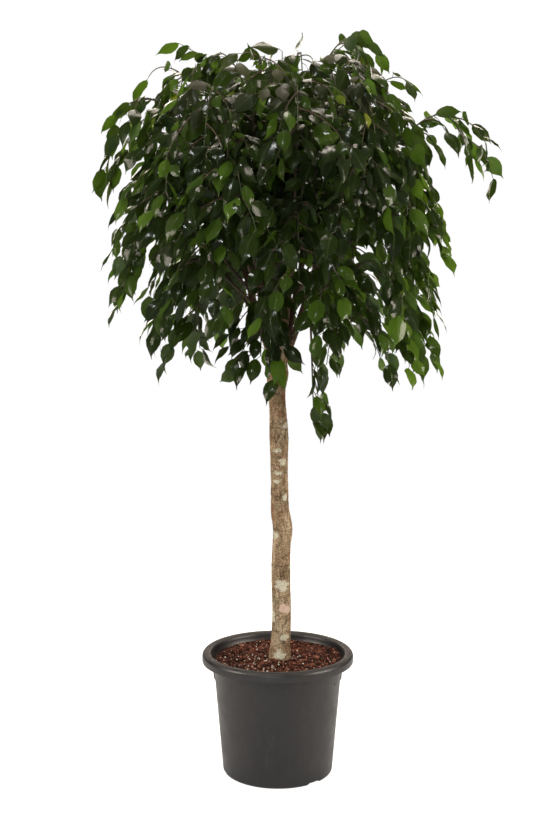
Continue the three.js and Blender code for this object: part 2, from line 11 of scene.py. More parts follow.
import bpy
import numpy as np
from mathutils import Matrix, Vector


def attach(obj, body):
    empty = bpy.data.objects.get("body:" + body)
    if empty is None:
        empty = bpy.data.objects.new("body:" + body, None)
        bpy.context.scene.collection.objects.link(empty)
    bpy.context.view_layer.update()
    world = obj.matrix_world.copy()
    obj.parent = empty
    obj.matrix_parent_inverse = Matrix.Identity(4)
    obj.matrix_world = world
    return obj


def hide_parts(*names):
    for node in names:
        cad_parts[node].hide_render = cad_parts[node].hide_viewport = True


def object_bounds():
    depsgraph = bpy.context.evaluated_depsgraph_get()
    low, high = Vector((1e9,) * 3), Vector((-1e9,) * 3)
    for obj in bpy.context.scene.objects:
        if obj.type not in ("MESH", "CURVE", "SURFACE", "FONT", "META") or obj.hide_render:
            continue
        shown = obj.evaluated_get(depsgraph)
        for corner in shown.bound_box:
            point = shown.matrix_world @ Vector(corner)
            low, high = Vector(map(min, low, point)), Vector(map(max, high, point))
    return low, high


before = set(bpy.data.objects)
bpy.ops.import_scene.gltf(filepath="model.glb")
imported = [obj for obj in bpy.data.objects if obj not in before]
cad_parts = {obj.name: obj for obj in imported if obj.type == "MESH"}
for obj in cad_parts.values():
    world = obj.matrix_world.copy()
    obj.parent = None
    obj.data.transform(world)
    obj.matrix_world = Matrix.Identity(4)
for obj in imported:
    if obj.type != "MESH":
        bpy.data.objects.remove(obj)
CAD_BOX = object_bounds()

MM = 0.001
UP = np.array([0.0, 0.0, 1.0])


def add_object(name, data):
    """An object at the origin that holds its data, linked to the scene."""
    made = bpy.data.objects.new(name, data)
    bpy.context.scene.collection.objects.link(made)
    return made


def rounded(box):
    """The two corners of a box in metres, to the millimetre."""
    return [[round(c, 3) for c in corner] for corner in box]


print("parts in the frame:", len(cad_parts))
print("CAD box:", rounded(CAD_BOX))

# %% [markdown]
# The photograph is taken from the front with a long lens, a little above the middle of the tree and
# tilted down a few degrees. Its focal length in pixels was worked out from the ellipses of the pot's rim
# and foot, so the camera is set from that number rather than by eye.

# %% camera
PHOTO_SIZE = (533, 819)
FOCAL_PX = 1314
SENSOR_MM = 36
CAMERA_PLACE = (-0.0298, -3.4, 1.35)
CAMERA_DOWN_DEG = 6.38

camera_data = bpy.data.cameras.new("photo_camera")
camera_data.sensor_width = SENSOR_MM
camera_data.lens = FOCAL_PX / max(PHOTO_SIZE) * SENSOR_MM
camera = add_object("photo_camera", camera_data)
camera.location = CAMERA_PLACE
camera.rotation_euler = (math.radians(90 - CAMERA_DOWN_DEG), 0, 0)
bpy.context.scene.camera = camera
print("lens", round(camera_data.lens, 2), "mm")

# %% [markdown]
# A studio lights a plant with large soft boxes, so that glossy leaves get broad pale highlights and no
# hard shadows. Area lights do the same. All but the two in front are a little warm, as light from pale
# walls is. The world adds a weaker light from all round, as the walls of the room would, while the camera
# sees it as pure white: the Light Path node tells the camera's rays from all others.

# %% lights
WORLD_LIGHT = 0.05
WARM, NEUTRAL = (1.0, 0.89, 0.78), (1.0, 1.0, 1.0)
SOFT_BOXES = {
    # place, aim, size, watts, tint
    "key_box": ((-1.1, -2.4, 4.2), (0, 0, 1.2), 0.6, 45, NEUTRAL),
    "front_box": ((-0.9, -4.4, 1.2), (0, 0, 0.6), 0.4, 39, NEUTRAL),
    "top_box": ((0.2, 0.9, 4.4), (0, 0, 1.6), 1.8, 125, WARM),
    "left_box": ((-3.2, -1.2, 1.9), (0, 0, 1.2), 1.4, 85, WARM),
    "right_box": ((3.2, -1.2, 1.9), (0, 0, 1.2), 1.4, 110, WARM),
    "back_wall": ((0, 2.8, 2.5), (0, 0, 1.6), 2.8, 190, WARM),
}


def add_soft_box(name, place, aim, size, watts, tint):
    """A square area light at a place, turned so that its face looks at the aim."""
    light = bpy.data.lights.new(name, "AREA")
    light.size = size
    light.energy = watts
    light.color = tint
    box = add_object(name, light)
    box.location = place
    away = np.array(place, float) - np.array(aim, float)
    box.rotation_euler = (math.atan2(math.hypot(away[0], away[1]), away[2]), 0, math.atan2(away[0], -away[1]))


for name, settings in SOFT_BOXES.items():
    add_soft_box(name, *settings)
world = bpy.data.worlds.new("white_studio")
world.use_nodes = True
world_background = world.node_tree.nodes["Background"]
world_background.inputs["Color"].default_value = (1, 1, 1, 1)
world_level = world.node_tree.nodes.new("ShaderNodeMapRange")
world_level.inputs["To Min"].default_value = WORLD_LIGHT
world_rays = world.node_tree.nodes.new("ShaderNodeLightPath")
world.node_tree.links.new(world_rays.outputs["Is Camera Ray"], world_level.inputs["Value"])
world.node_tree.links.new(world_level.outputs[0], world_background.inputs["Strength"])
bpy.context.scene.world = world
bpy.context.scene.view_settings.view_transform = "Standard"
print("soft boxes:", ", ".join(SOFT_BOXES))

# %% [markdown]
# Every finish is a small network of nodes. Writing each node by hand takes many lines, so one helper
# class keeps the calls short. Patterns read Object coordinates, which are metres in the frame, or an
# attribute of the mesh.

# %% a helper for finishes
class Finish:
    """A node material with a Principled shader, and short calls that add the nodes of a pattern."""

    def __init__(self, name, **sockets):
        self.material = bpy.data.materials.new(name)
        self.material.use_nodes = True
        self.tree = self.material.node_tree
        self.shader = self.tree.nodes["Principled BSDF"]
        for socket, value in sockets.items():
            self.to_shader(socket.replace("_", " ").title().replace("Ior", "IOR"), value)

    def feed(self, socket, value):
        """Links an output to a socket, or sets a value there. A colour of three numbers is made opaque."""
        if isinstance(value, bpy.types.NodeSocket):
            self.tree.links.new(value, socket)
        else:
            socket.default_value = (*value, 1) if socket.type == "RGBA" else value

    def to_shader(self, socket, value):
        self.feed(self.shader.inputs[socket], value)

    def add(self, kind, values=(), **settings):
        """A node of a kind, with its settings, and its inputs given by number or name."""
        node = self.tree.nodes.new("ShaderNode" + kind)
        for name, value in settings.items():
            setattr(node, name, value)
        for socket, value in dict(values).items():
            self.feed(node.inputs[socket], value)
        return node

    def place(self, stretch=(1, 1, 1)):
        """Object coordinates, each axis multiplied by its stretch."""
        coordinates = self.add("TexCoord").outputs["Object"]
        return self.add("Mapping", {"Vector": coordinates, "Scale": stretch}).outputs[0]

    def attribute(self, name):
        """A number that the mesh holds for each point or face."""
        return self.add("Attribute", attribute_name=name).outputs["Fac"]

    def calc(self, operation, first, second=0.0, third=0.0):
        """One step of arithmetic on numbers or links."""
        return self.add("Math", {0: first, 1: second, 2: third}, operation=operation).outputs[0]

    def times(self, first, second):
        """The product of two numbers or links."""
        return self.calc("MULTIPLY", first, second)

    def fit(self, value, low, high, to_low=0.0, to_high=1.0):
        """A value carried smoothly from the range low to high onto another range, and held at its ends."""
        values = {0: value, 1: low, 2: high, 3: to_low, 4: to_high}
        return self.add("MapRange", values, interpolation_type="SMOOTHSTEP").outputs[0]

    def noise(self, scale, detail=4, rough=0.55, stretch=(1, 1, 1), warp=0.0):
        """Smooth noise from 0 to 1, with scale as patches for each metre."""
        values = {"Vector": self.place(stretch), "Scale": scale, "Detail": detail, "Roughness": rough}
        return self.add("TexNoise", {**values, "Distortion": warp}).outputs[0]

    def patches(self, scale, detail, low, high, amount=1.0, **noise):
        """Noise as a mask: 0 where it is below low, and the amount where it is above high."""
        return self.fit(self.noise(scale, detail, **noise), low, high, 0.0, amount)

    def grey(self, level):
        """A level as the same red, green and blue."""
        return self.add("CombineColor", {0: level, 1: level, 2: level}).outputs[0]

    def ramp(self, factor, *stops):
        """A colour read from stops, each a place and a colour."""
        node = self.add("ValToRGB", {0: factor})
        elements = node.color_ramp.elements
        while len(elements) < len(stops):
            elements.new(0.5)
        for element, (place, colour) in zip(elements, stops):
            element.position = place
            element.color = (*colour, 1)
        return node.outputs[0]

    def mix(self, factor, first, second, blend="MIX"):
        """Two colours mixed, or laid over each other by a blend."""
        values = {0: factor, 6: first, 7: second}
        return self.add("Mix", values, data_type="RGBA", blend_type=blend).outputs[2]

    def layers(self, colour, *layers):
        """A colour with others laid over it in turn, each where its mask says and as strongly."""
        for mask, over in layers:
            colour = self.mix(mask, colour, over)
        return colour

    def bump(self, height, distance):
        """Relief from a height of 0 to 1, with distance as the real depth in metres."""
        node = self.add("Bump", {"Height": height, "Distance": distance, "Strength": 1.0})
        previous = self.shader.inputs["Normal"].links
        if previous:
            self.feed(node.inputs["Normal"], previous[0].from_socket)
        self.to_shader("Normal", node.outputs[0])


print("finish helper ready")

# %% [markdown]
# All new pieces are surfaces worked out with numpy. These helpers turn arrays of points and faces into an
# object at the origin, give it its finish and attributes, parent it to the root body, and hide the part of
# the frame that it replaces. Faces come in blocks, each an array with one row for each face.

# %% helpers for pieces
def unit(vectors):
    """Each vector divided by its own length."""
    return vectors / np.maximum(np.linalg.norm(vectors, axis=-1, keepdims=True), 1e-12)


def square_to(vectors, run):
    """Each vector without its part along a direction, and one long."""
    return unit(vectors - np.sum(vectors * run, -1, keepdims=True) * run)


def make_mesh(name, points, blocks):
    """A mesh from points in metres and blocks of faces."""
    mesh = bpy.data.meshes.new(name)
    rows = [face for block in blocks for face in block.tolist()]
    mesh.from_pydata(np.asarray(points, float).reshape(-1, 3), [], rows)
    return mesh


def add_piece(name, points, blocks, finish, nodes=(), attributes=None, sharp_deg=None, flat=False):
    """A mesh object with its finish and attributes, one value a point or face, parented to the root body,
    with the parts it replaces hidden.
    """
    mesh = make_mesh(name, points, blocks)
    for attribute, values in (attributes or {}).items():
        domain = "POINT" if len(values) == len(mesh.vertices) else "FACE"
        made = mesh.attributes.new(attribute, "FLOAT", domain)
        made.data.foreach_set("value", np.asarray(values, np.float32).ravel())
    if not flat:
        mesh.shade_smooth()
    if sharp_deg is not None:
        mesh.set_sharp_from_angle(angle=math.radians(sharp_deg))
    mesh.materials.append(finish.material)
    piece = add_object(name, mesh)
    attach(piece, "root")
    if nodes:
        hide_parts(*nodes)
    return piece


def with_modifiers(thing):
    """A new mesh of an object as its modifiers leave it."""
    return bpy.data.meshes.new_from_object(thing.evaluated_get(bpy.context.evaluated_depsgraph_get()))


def join_blocks(parts):
    """Parts, each its points and its blocks of faces, set one after another with the faces counted on."""
    starts = np.cumsum([0] + [len(points) for points, blocks in parts])
    joined = [block + start for start, (points, blocks) in zip(starts, parts) for block in blocks]
    return np.concatenate([points for points, blocks in parts]), joined


def triangles_in(piece):
    """How many triangles a piece has: each face counts its corners less two."""
    return len(piece.data.loops) - 2 * len(piece.data.polygons)


def ring_faces(rows, columns):
    """Four-cornered faces between rings of points, each ring closed on itself."""
    row, column = np.meshgrid(np.arange(rows - 1), np.arange(columns), indexing="ij")
    here = row * columns + column
    beside = row * columns + (column + 1) % columns
    return np.stack([here, beside, beside + columns, here + columns], -1).reshape(-1, 4)


def cap_faces(rows, columns):
    """The first ring turned over and the last ring, each as one face."""
    first = np.arange(columns)
    return np.stack([first[::-1], (rows - 1) * columns + first])


def lattice_noise(points, size, seed=0):
    """Value noise from -1 to 1: random numbers on a lattice of the given cell size, blended smoothly."""
    cells = np.asarray(points) / size
    base = np.floor(cells)
    part = cells - base
    part = part * part * (3 - 2 * part)
    total = 0
    for corner in np.ndindex(2, 2, 2):
        whirl = np.sin((base + corner) @ np.array([127.1, 311.7, 74.7]) + 17.3 * seed) * 43758.5453
        total += (whirl - np.floor(whirl)) * np.prod(np.where(corner, part, 1 - part), axis=-1)
    return 2 * total - 1


def between(ends, share):
    """The value at a share of the way between two ends."""
    return ends[0] + (ends[1] - ends[0]) * share


def smooth_step(values, low, high):
    """0 below low, 1 above high, and an S-shaped curve between."""
    share = np.clip((values - low) / (high - low), 0, 1)
    return share * share * (3 - 2 * share)


print("piece helpers ready")

# %% [markdown]
# The floor is plain and pale. A disc is enough. It glows a little, as paper does on a lit table, and its
# far part glows as white as the world, so that no edge of the disc shows from any side. Like the world,
# it glows fully for the camera's rays alone. Reflections get about a third of that, and other light an
# eighth. It isn't part of the object.

# %% floor
FLOOR_RADIUS, FLOOR_SIDES = 60, 96
FLOOR_FADE, FLOOR_GLOW, FLOOR_GREY = (1.2, 3.5), (0.9, 1.0), (0.35, 0.0)
FLOOR_BOUNCE, FLOOR_MIRRORED = 0.12, 0.28

floor_finish = Finish("pale_floor", roughness=0.9, emission_color=(1, 1, 1), specular_ior_level=0.0)
floor_out = floor_finish.add("VectorMath", {0: floor_finish.place()}, operation="LENGTH").outputs["Value"]
floor_rays = floor_finish.add("LightPath").outputs
floor_mirrored = floor_finish.times(floor_rays["Is Glossy Ray"], FLOOR_MIRRORED)
floor_seen = floor_finish.calc("MAXIMUM", floor_rays["Is Camera Ray"], floor_mirrored)
floor_glow = floor_finish.fit(floor_out, *FLOOR_FADE, *FLOOR_GLOW)
floor_strength = floor_finish.add("MapRange", {0: floor_seen, 3: FLOOR_BOUNCE, 4: floor_glow})
floor_finish.to_shader("Emission Strength", floor_strength.outputs[0])
floor_finish.to_shader("Base Color", floor_finish.grey(floor_finish.fit(floor_out, *FLOOR_FADE, *FLOOR_GREY)))
floor_turn = np.linspace(0, 2 * np.pi, FLOOR_SIDES, endpoint=False)
floor_points = FLOOR_RADIUS * np.stack([np.cos(floor_turn), np.sin(floor_turn), 0 * floor_turn], -1)
floor_mesh = make_mesh("studio_floor", floor_points, [np.arange(FLOOR_SIDES)[None]])
floor_mesh.materials.append(floor_finish.material)
add_object("studio_floor", floor_mesh)
print("floor radius", FLOOR_RADIUS, "m")

# %% [markdown]
# The pot is injection-moulded polypropylene: matt, dark grey, with a faint orange-peel skin and a little
# dust in patches. More of it has settled on what faces up, which is read from the surface's own
# direction. Fine noise gives the skin, and wider noise varies the grey and the gloss, because a moulded
# wall never cools quite evenly.

# %% pot plastic
pot_finish = Finish("grey_pot_plastic")
plastic_grey = pot_finish.ramp(
    pot_finish.noise(7, 3), (0.3, (0.0172, 0.0163, 0.0167)), (0.7, (0.0228, 0.0218, 0.0222)),
)
plastic_dust = pot_finish.patches(55, 6, 0.5, 0.8, 0.12, rough=0.65, stretch=(1, 1, 0.35))
facing_up = pot_finish.add("SeparateXYZ", {0: pot_finish.add("TexCoord").outputs["Normal"]}).outputs["Z"]
plastic_settled = pot_finish.times(
    pot_finish.fit(facing_up, 0.5, 0.95, 0.0, 0.4), pot_finish.patches(40, 5, 0.2, 0.6),
)
pot_finish.to_shader("Base Color", pot_finish.layers(
    plastic_grey, (plastic_dust, (0.13, 0.115, 0.10)), (plastic_settled, (0.105, 0.092, 0.082)),
))
pot_finish.to_shader("Specular IOR Level", pot_finish.fit(facing_up, 0.62, 0.95, 0.55, 0.06))
plastic_skin = pot_finish.fit(pot_finish.noise(30, 5), 0.3, 0.7, 0.34, 0.46)
pot_finish.to_shader("Roughness", pot_finish.calc("ADD", plastic_skin, plastic_settled))
pot_finish.bump(pot_finish.noise(900, 2), 0.00006)
pot_finish.bump(pot_finish.noise(26, 3, stretch=(1, 1, 0.4)), 0.0003)
print("finish:", pot_finish.material.name)

# %% [markdown]
# A nursery pot is a surface of revolution: one profile turned round the axis. The profile runs from the
# middle of the underside, over the drainage channel, round the foot, up the wall, over the rolled rim and
# down the inside to the floor. The three notches in the foot and the two lugs under the rim are small
# moves of that surface, where a mask over the angle says so. Round holes can't be made by moving points,
# so a Boolean cuts them.

# %% pot
RIM_RADIUS, POT_HEIGHT, POT_WALL, ROLL_RADIUS = 200.5, 326.0, 3.5, 12.25
WALL_TOP, WALL_FOOT, FOOT_FILLET, FLOOR_TOP = (170.0, 292.0), 146.0, 10.0, 8.0
CHANNEL_INNER = [(55.5, 0.5), (59.5, 4.5), (60.5, 5)]
CHANNEL_OUTER = [(112.5, 5), (113.5, 4.5), (117.5, 0.5), (118.5, 0)]
SHOULDER, INNER_SHOULDER = [(171.5, 298), (174.8, 305)], [(174.2, 305), (169.5, 297.5)]
SKIRT_DROP, INSIDE_FILLET = 26.0, 6.0
NOTCH_DEGREES, NOTCH_WIDE, NOTCH_HIGH, NOTCH_FROM = (41.6, 161.6, 281.6), 41.0, 7.5, 116.0
LUG_DEGREES, LUG_WIDE, LUG_PROUD, LUG_RISE, LUG_FADE = (90.0, 270.0), 14.0, 3.5, (244, 252), (290, 294)
NOTCH_SOFT, LUG_SOFT = 2.0, 3.0
POT_COLUMNS = 320


def arc(centre, radius, start_deg, end_deg, count):
    """Points of a circle about a centre from one angle to another, both included."""
    angle = np.radians(np.linspace(start_deg, end_deg, count))
    return np.stack([centre[0] + radius * np.cos(angle), centre[1] + radius * np.sin(angle)], -1)


def line(start, end, count):
    """Points of a straight line without its two ends."""
    share = np.linspace(0, 1, count + 2)[1:-1, None]
    return np.asarray(start) * (1 - share) + np.asarray(end) * share


def pot_profile():
    """The pot's outline as radius and height in mm, from the axis below to the axis on the floor inside."""
    roll = (RIM_RADIUS - ROLL_RADIUS, POT_HEIGHT - ROLL_RADIUS)
    skirt, lip = POT_HEIGHT - SKIRT_DROP, RIM_RADIUS - POT_WALL
    inside_top = (WALL_TOP[0] - POT_WALL, WALL_TOP[1])
    inside_foot = WALL_FOOT - POT_WALL
    return np.concatenate([
        [(0.01, 0), (40, 0), (54.5, 0), *CHANNEL_INNER],
        line(CHANNEL_INNER[-1], CHANNEL_OUTER[0], 14),
        [*CHANNEL_OUTER, (127, 0)],
        arc((WALL_FOOT - FOOT_FILLET, FOOT_FILLET), FOOT_FILLET, -90, 0, 9),
        line((WALL_FOOT, FOOT_FILLET), WALL_TOP, 40),
        [WALL_TOP, *SHOULDER],
        arc(roll, ROLL_RADIUS - POT_WALL, 180, 0, 13),
        [(lip, skirt + 2), (lip + 0.6, skirt + 0.4), (RIM_RADIUS - 1.75, skirt)],
        [(RIM_RADIUS - 0.6, skirt + 0.4), (RIM_RADIUS, skirt + 2), (RIM_RADIUS, skirt + 7)],
        arc(roll, ROLL_RADIUS, 0, 180, 25),
        [*INNER_SHOULDER, inside_top],
        line(inside_top, (inside_foot, FOOT_FILLET + 4), 16),
        arc((inside_foot - INSIDE_FILLET, FLOOR_TOP + INSIDE_FILLET), INSIDE_FILLET, 0, -90, 5),
        [(90, FLOOR_TOP), (40, FLOOR_TOP), (0.01, FLOOR_TOP)],
    ])


def near_angle(degrees, centres, radius, wide, soft):
    """1 within half a width of one of the angles, measured along the circle, falling to 0 over soft mm."""
    away = np.min([np.abs((degrees - c + 180) % 360 - 180) for c in centres], axis=0)
    return np.clip((wide / 2 - np.radians(away) * radius) / soft + 0.5, 0, 1)


profile = pot_profile()
turn_deg = np.linspace(0, 360, POT_COLUMNS, endpoint=False)
radius, height = (np.repeat(profile[:, i:i + 1], POT_COLUMNS, 1) for i in (0, 1))
degrees = np.repeat(turn_deg[None], len(profile), 0)
outside = (np.arange(len(profile)) < np.argmax(profile[:, 0] >= SHOULDER[1][0]))[:, None]
notch = near_angle(degrees, NOTCH_DEGREES, radius, NOTCH_WIDE, NOTCH_SOFT) * (radius > NOTCH_FROM) * outside
height = np.maximum(height, NOTCH_HIGH * notch * (height < NOTCH_HIGH))
lug = smooth_step(height, *LUG_RISE) * (1 - smooth_step(height, *LUG_FADE)) * outside
radius = radius + LUG_PROUD * near_angle(degrees, LUG_DEGREES, radius, LUG_WIDE, LUG_SOFT) * lug
turn = np.radians(degrees)
nursery_pot = add_piece(
    "nursery_pot", MM * np.stack([radius * np.sin(turn), -radius * np.cos(turn), height], -1),
    [ring_faces(len(profile), POT_COLUMNS), cap_faces(len(profile), POT_COLUMNS)],
    pot_finish, ["pot"], sharp_deg=40,
)
print("pot", triangles_in(nursery_pot), "triangles")

# %% holes in the pot
WIRE_HOLES = {"degrees": (62.0, 242.0), "radius": 2.5, "z": 258.0, "from": 150, "to": 185}
DRAIN_HOLES = {"count": 6, "first": 12.0, "radius": 6.0, "circle": 88.0, "from": -5, "to": 15}
HOLE_SIDES = 20


def rod(start, end, radius):
    """Points and blocks of faces of a straight round rod between two points."""
    run = unit(end - start)
    side = unit(np.cross(run, UP if abs(run[2]) < 0.9 else [1.0, 0, 0]))
    angle = np.linspace(0, 2 * np.pi, HOLE_SIDES, endpoint=False)[:, None]
    ring = radius * (np.cos(angle) * side + np.sin(angle) * np.cross(run, side))
    return np.concatenate([start + ring, end + ring]), [ring_faces(2, HOLE_SIDES), cap_faces(2, HOLE_SIDES)]


def bearing(degrees):
    """The level direction at an angle from the front, towards +X."""
    turn = np.radians(degrees)
    return np.stack([np.sin(turn), -np.cos(turn), 0 * turn], -1)


cutters = []
for degrees in WIRE_HOLES["degrees"]:
    out, lift = bearing(degrees), WIRE_HOLES["z"] * UP
    ends = (WIRE_HOLES[end] * out + lift for end in ("from", "to"))
    cutters.append(rod(*ends, WIRE_HOLES["radius"]))
for i in range(DRAIN_HOLES["count"]):
    at = DRAIN_HOLES["circle"] * bearing(DRAIN_HOLES["first"] + 360 * i / DRAIN_HOLES["count"])
    cutters.append(rod(at + DRAIN_HOLES["from"] * UP, at + DRAIN_HOLES["to"] * UP, DRAIN_HOLES["radius"]))
cutter_points, cutter_blocks = join_blocks(cutters)
cutter = add_object("hole_cutters", make_mesh("hole_cutters", MM * cutter_points, cutter_blocks))
cut = nursery_pot.modifiers.new("holes", "BOOLEAN")
cut.object = cutter
cut.operation = "DIFFERENCE"
cut.solver = "EXACT"
holed = with_modifiers(nursery_pot)
nursery_pot.modifiers.clear()
nursery_pot.data = holed
holed.name = "nursery_pot"
bpy.data.objects.remove(cutter)
print("holes:", len(cutters), "pot now", triangles_in(nursery_pot), "triangles")

# %% [markdown]
# Stems, twigs, limbs and fibres are all tubes: a ring of points carried along a curve. The ring must not
# twist on the way, so each ring's side direction is the last one with its part along the new direction
# taken off.

# %% tubes
def many(faces, corners, count):
    """The faces of one shape, repeated for each copy of its points."""
    return (faces[None] + corners * np.arange(count)[:, None, None]).reshape(-1, faces.shape[-1])


def tubes(paths, radii, sides):
    """Closed tubes along many paths at once: points, faces, and each point's share of the way along."""
    count, steps = paths.shape[:2]
    runs = unit(np.gradient(paths, axis=1))
    side = np.cross(runs[:, 0], np.where(np.abs(runs[:, :1, 2]) < 0.9, 1, 0) * UP + np.array([0.1, 0.02, 0]))
    sides_out = []
    for step in range(steps):
        side = square_to(side, runs[:, step])
        sides_out.append(side)
    side = np.stack(sides_out, 1)
    angle = np.linspace(0, 2 * np.pi, sides, endpoint=False)[:, None]
    ring = np.cos(angle) * side[:, :, None] + np.sin(angle) * np.cross(runs, side)[:, :, None]
    points = paths[:, :, None] + radii[..., None, None] * ring
    shapes = ring_faces(steps, sides), cap_faces(steps, sides)
    faces = [many(shape, steps * sides, count) for shape in shapes]
    share = np.broadcast_to(np.linspace(0, 1, steps)[None, :, None], points.shape[:3])
    return points.reshape(-1, 3), faces, share.ravel()


def bezier(handles, shares):
    """Points of Bezier curves at shares of their parameter, found by lines between lines."""
    points = np.repeat(handles[:, None], shares.shape[-1], axis=1)
    while points.shape[2] > 1:
        points = points[:, :, :-1] + shares[..., None, None] * (points[:, :, 1:] - points[:, :, :-1])
    return points[:, :, 0]


def by_length(handles, shares):
    """The parameter at each share of a curve's length, read from a table of 200 short chords."""
    table = np.linspace(0, 1, 201)
    at = bezier(handles, np.repeat(table[None], len(handles), 0))
    run = np.linalg.norm(np.diff(at, axis=1), axis=2)
    total = np.concatenate([np.zeros((len(handles), 1)), np.cumsum(run, 1)], 1)
    return np.stack([np.interp(s * t[-1], t, table) for s, t in zip(shares, total)]), total[:, -1]


def heading(handles, shares):
    """The direction of each curve at a parameter, from two points just before and after it."""
    before, after = np.clip(shares - 1e-4, 0, 1), np.clip(shares + 1e-4, 0, 1)
    return unit(bezier(handles, after) - bezier(handles, before))


def tapering(handles, thickness, steps, sides, even=True):
    """Tubes along curves, from one radius to another, with their steps even in length or in parameter."""
    shares = np.repeat(np.linspace(0, 1, steps)[None], len(handles), 0)
    path = bezier(handles, by_length(handles, shares)[0] if even else shares)
    return tubes(path, between(thickness, shares), sides)


print("tube helpers ready")

# %% [markdown]
# Potting soil for a tree this size is mostly composted bark and coir: reddish-brown crumbs and flakes
# with fine fibres, and white grains of perlite. The fill itself is a round plug whose top is lumpy. On it
# lie three kinds of loose bits, each a small simple shape repeated from seeded random numbers.

# %% soil finishes
soil_finish = Finish("potting_soil", roughness=0.95, specular_ior_level=0.1)
soil_finish.to_shader("Base Color", soil_finish.ramp(
    soil_finish.noise(160, 8, 0.7),
    (0.42, (0.004, 0.002, 0.0015)), (0.6, (0.022, 0.008, 0.005)), (0.8, (0.08, 0.028, 0.018)),
))
soil_finish.bump(soil_finish.noise(260, 8, 0.7), 0.002)
chip_finish = Finish("bark_chips", roughness=0.9, specular_ior_level=0.12)
chip_finish.to_shader("Base Color", chip_finish.ramp(
    chip_finish.calc("MULTIPLY_ADD", chip_finish.noise(420, 5), 0.35, chip_finish.attribute("tone")),
    (0.22, (0.006, 0.003, 0.002)), (0.5, (0.080, 0.026, 0.016)), (0.8, (0.23, 0.081, 0.050)),
    (1.0, (0.40, 0.19, 0.12)),
))
chip_finish.bump(chip_finish.noise(700, 4, stretch=(1, 1, 2)), 0.0006)
perlite_finish = Finish("perlite", roughness=0.85)
perlite_finish.to_shader("Base Color", perlite_finish.ramp(
    perlite_finish.noise(500, 3), (0.3, (0.50, 0.45, 0.37)), (0.6, (0.84, 0.79, 0.69)),
))
perlite_finish.bump(perlite_finish.noise(1600, 3), 0.0004)
print("finishes: soil, chips, perlite")

# %% soil plug
SOIL_EDGE_Z, SOIL_MOUND, SOIL_EDGE_RADIUS, SOIL_MOUND_RADIUS = 300.0, 9.0, 170.5, 170
SWELL_HIGH, SWELL_CALM = 2.4, (150, SOIL_EDGE_RADIUS)
LUMPS_HIGH, LUMPS_WIDE, CRUMBS_HIGH, CRUMBS_WIDE = 1.6, 14.0, 1.1, 5.0
HEAP_X, HEAP_Y, HEAP_HIGH, HEAP_WIDE = 168.0, 30.0, 7.0, 48.0
EDGE_HIGH, EDGE_SPAN = 4, (140, 168)
SWELL_ALONG_X, SWELL_ALONG_Y, SWELL_SLANT, SLANT_SHARE = 0.11, 0.093, 0.21, 0.6
SOIL_COLUMNS = 200


def soil_height(x, y):
    """Height of the soil in mm: a low mound with long swells, a heap at one side, lumps and crumbs."""
    radius = np.hypot(x, y)
    swell = np.sin(SWELL_ALONG_X * x) * np.cos(SWELL_ALONG_Y * y)
    swell = SWELL_HIGH * (swell + SLANT_SHARE * np.sin(SWELL_SLANT * (x - y)))
    swell = swell * (1 - smooth_step(radius, *SWELL_CALM))
    at = np.stack([x, y, 0 * x], -1)
    rough = LUMPS_HIGH * lattice_noise(at, LUMPS_WIDE, 1) + CRUMBS_HIGH * lattice_noise(at, CRUMBS_WIDE, 2)
    heap = HEAP_HIGH * np.exp(-((x - HEAP_X) ** 2 + (y - HEAP_Y) ** 2) / (2 * HEAP_WIDE ** 2))
    edge = EDGE_HIGH * smooth_step(radius, *EDGE_SPAN)
    return SOIL_EDGE_Z + SOIL_MOUND * (1 - radius / SOIL_MOUND_RADIUS) + swell + rough + heap + edge


soil_radii = np.concatenate([
    [0.01, 100, 135, 140.5], np.linspace(142, 164, 6), [165.8], np.linspace(SOIL_EDGE_RADIUS, 0.01, 62),
])
soil_below = [8.4, 8.4, 8.4, 10.0, *np.linspace(20, 280, 6), 293.0]
soil_turn = np.linspace(0, 2 * np.pi, SOIL_COLUMNS, endpoint=False)
soil_x = soil_radii[:, None] * np.sin(soil_turn)
soil_y = -soil_radii[:, None] * np.cos(soil_turn)
soil_z = soil_height(soil_x, soil_y)
soil_z[:len(soil_below)] = np.array(soil_below)[:, None]
potting_soil = add_piece(
    "potting_soil", MM * np.stack([soil_x, soil_y, soil_z], -1),
    [ring_faces(len(soil_radii), SOIL_COLUMNS), cap_faces(len(soil_radii), SOIL_COLUMNS)],
    soil_finish, ["soil"],
)
print("soil", triangles_in(potting_soil), "triangles")

# %% loose bits on the soil
CHIPS, FIBRES, PERLITE = 5200, 420, 130
CHIP_SIZES, GRAIN_SIZES, FIBRE_LENGTHS = ((1.2, 3.8), (0.9, 2.2), (0.5, 1.3)), (1.0, 2.8), (12, 32)
FIBRE_RADIUS, FIBRE_STEPS, FIBRE_SIDES = 0.32, 6, 3
CUBE = np.array([[x, y, z] for z in (-1, 1) for y in (-1, 1) for x in (-1, 1)], float)
CUBE_FACES = np.array([[0, 2, 3, 1], [4, 5, 7, 6], [0, 1, 5, 4], [2, 6, 7, 3], [0, 4, 6, 2], [1, 3, 7, 5]])
TRUNK_FOOT, TRUNK_FOOT_RADIUS = np.array([5.0, 0.0]), 29.0
PERLITE_DRIFT, DRIFT_WIDE, DRIFT_LEAST = np.array([-55.0, -60.0]), 62.0, 0.12
# how far out each kind lies, and the room it leaves round the trunk
CHIP_PLACES, GRAIN_PLACES, FIBRE_PLACES = (165.0, 3), (156.0, 4), (160.0, 8)
CHIP_SPREAD, CHIP_RAGGED, GRAIN_RAGGED = (0.5, 1.9), (0.55, 1.0), (0.7, 1.15)
CHIP_PITCH, CHIP_YAW, ANY_TURN = 0.45, 0.7, 6.3
CHIP_TONES, FIBRE_TONES, GRAIN_LIFT, FIBRE_LIFT = (1.6, 2.4), (0.2, 0.75), 2.6, 3.2
TRIES = 8
random = np.random.default_rng(7)


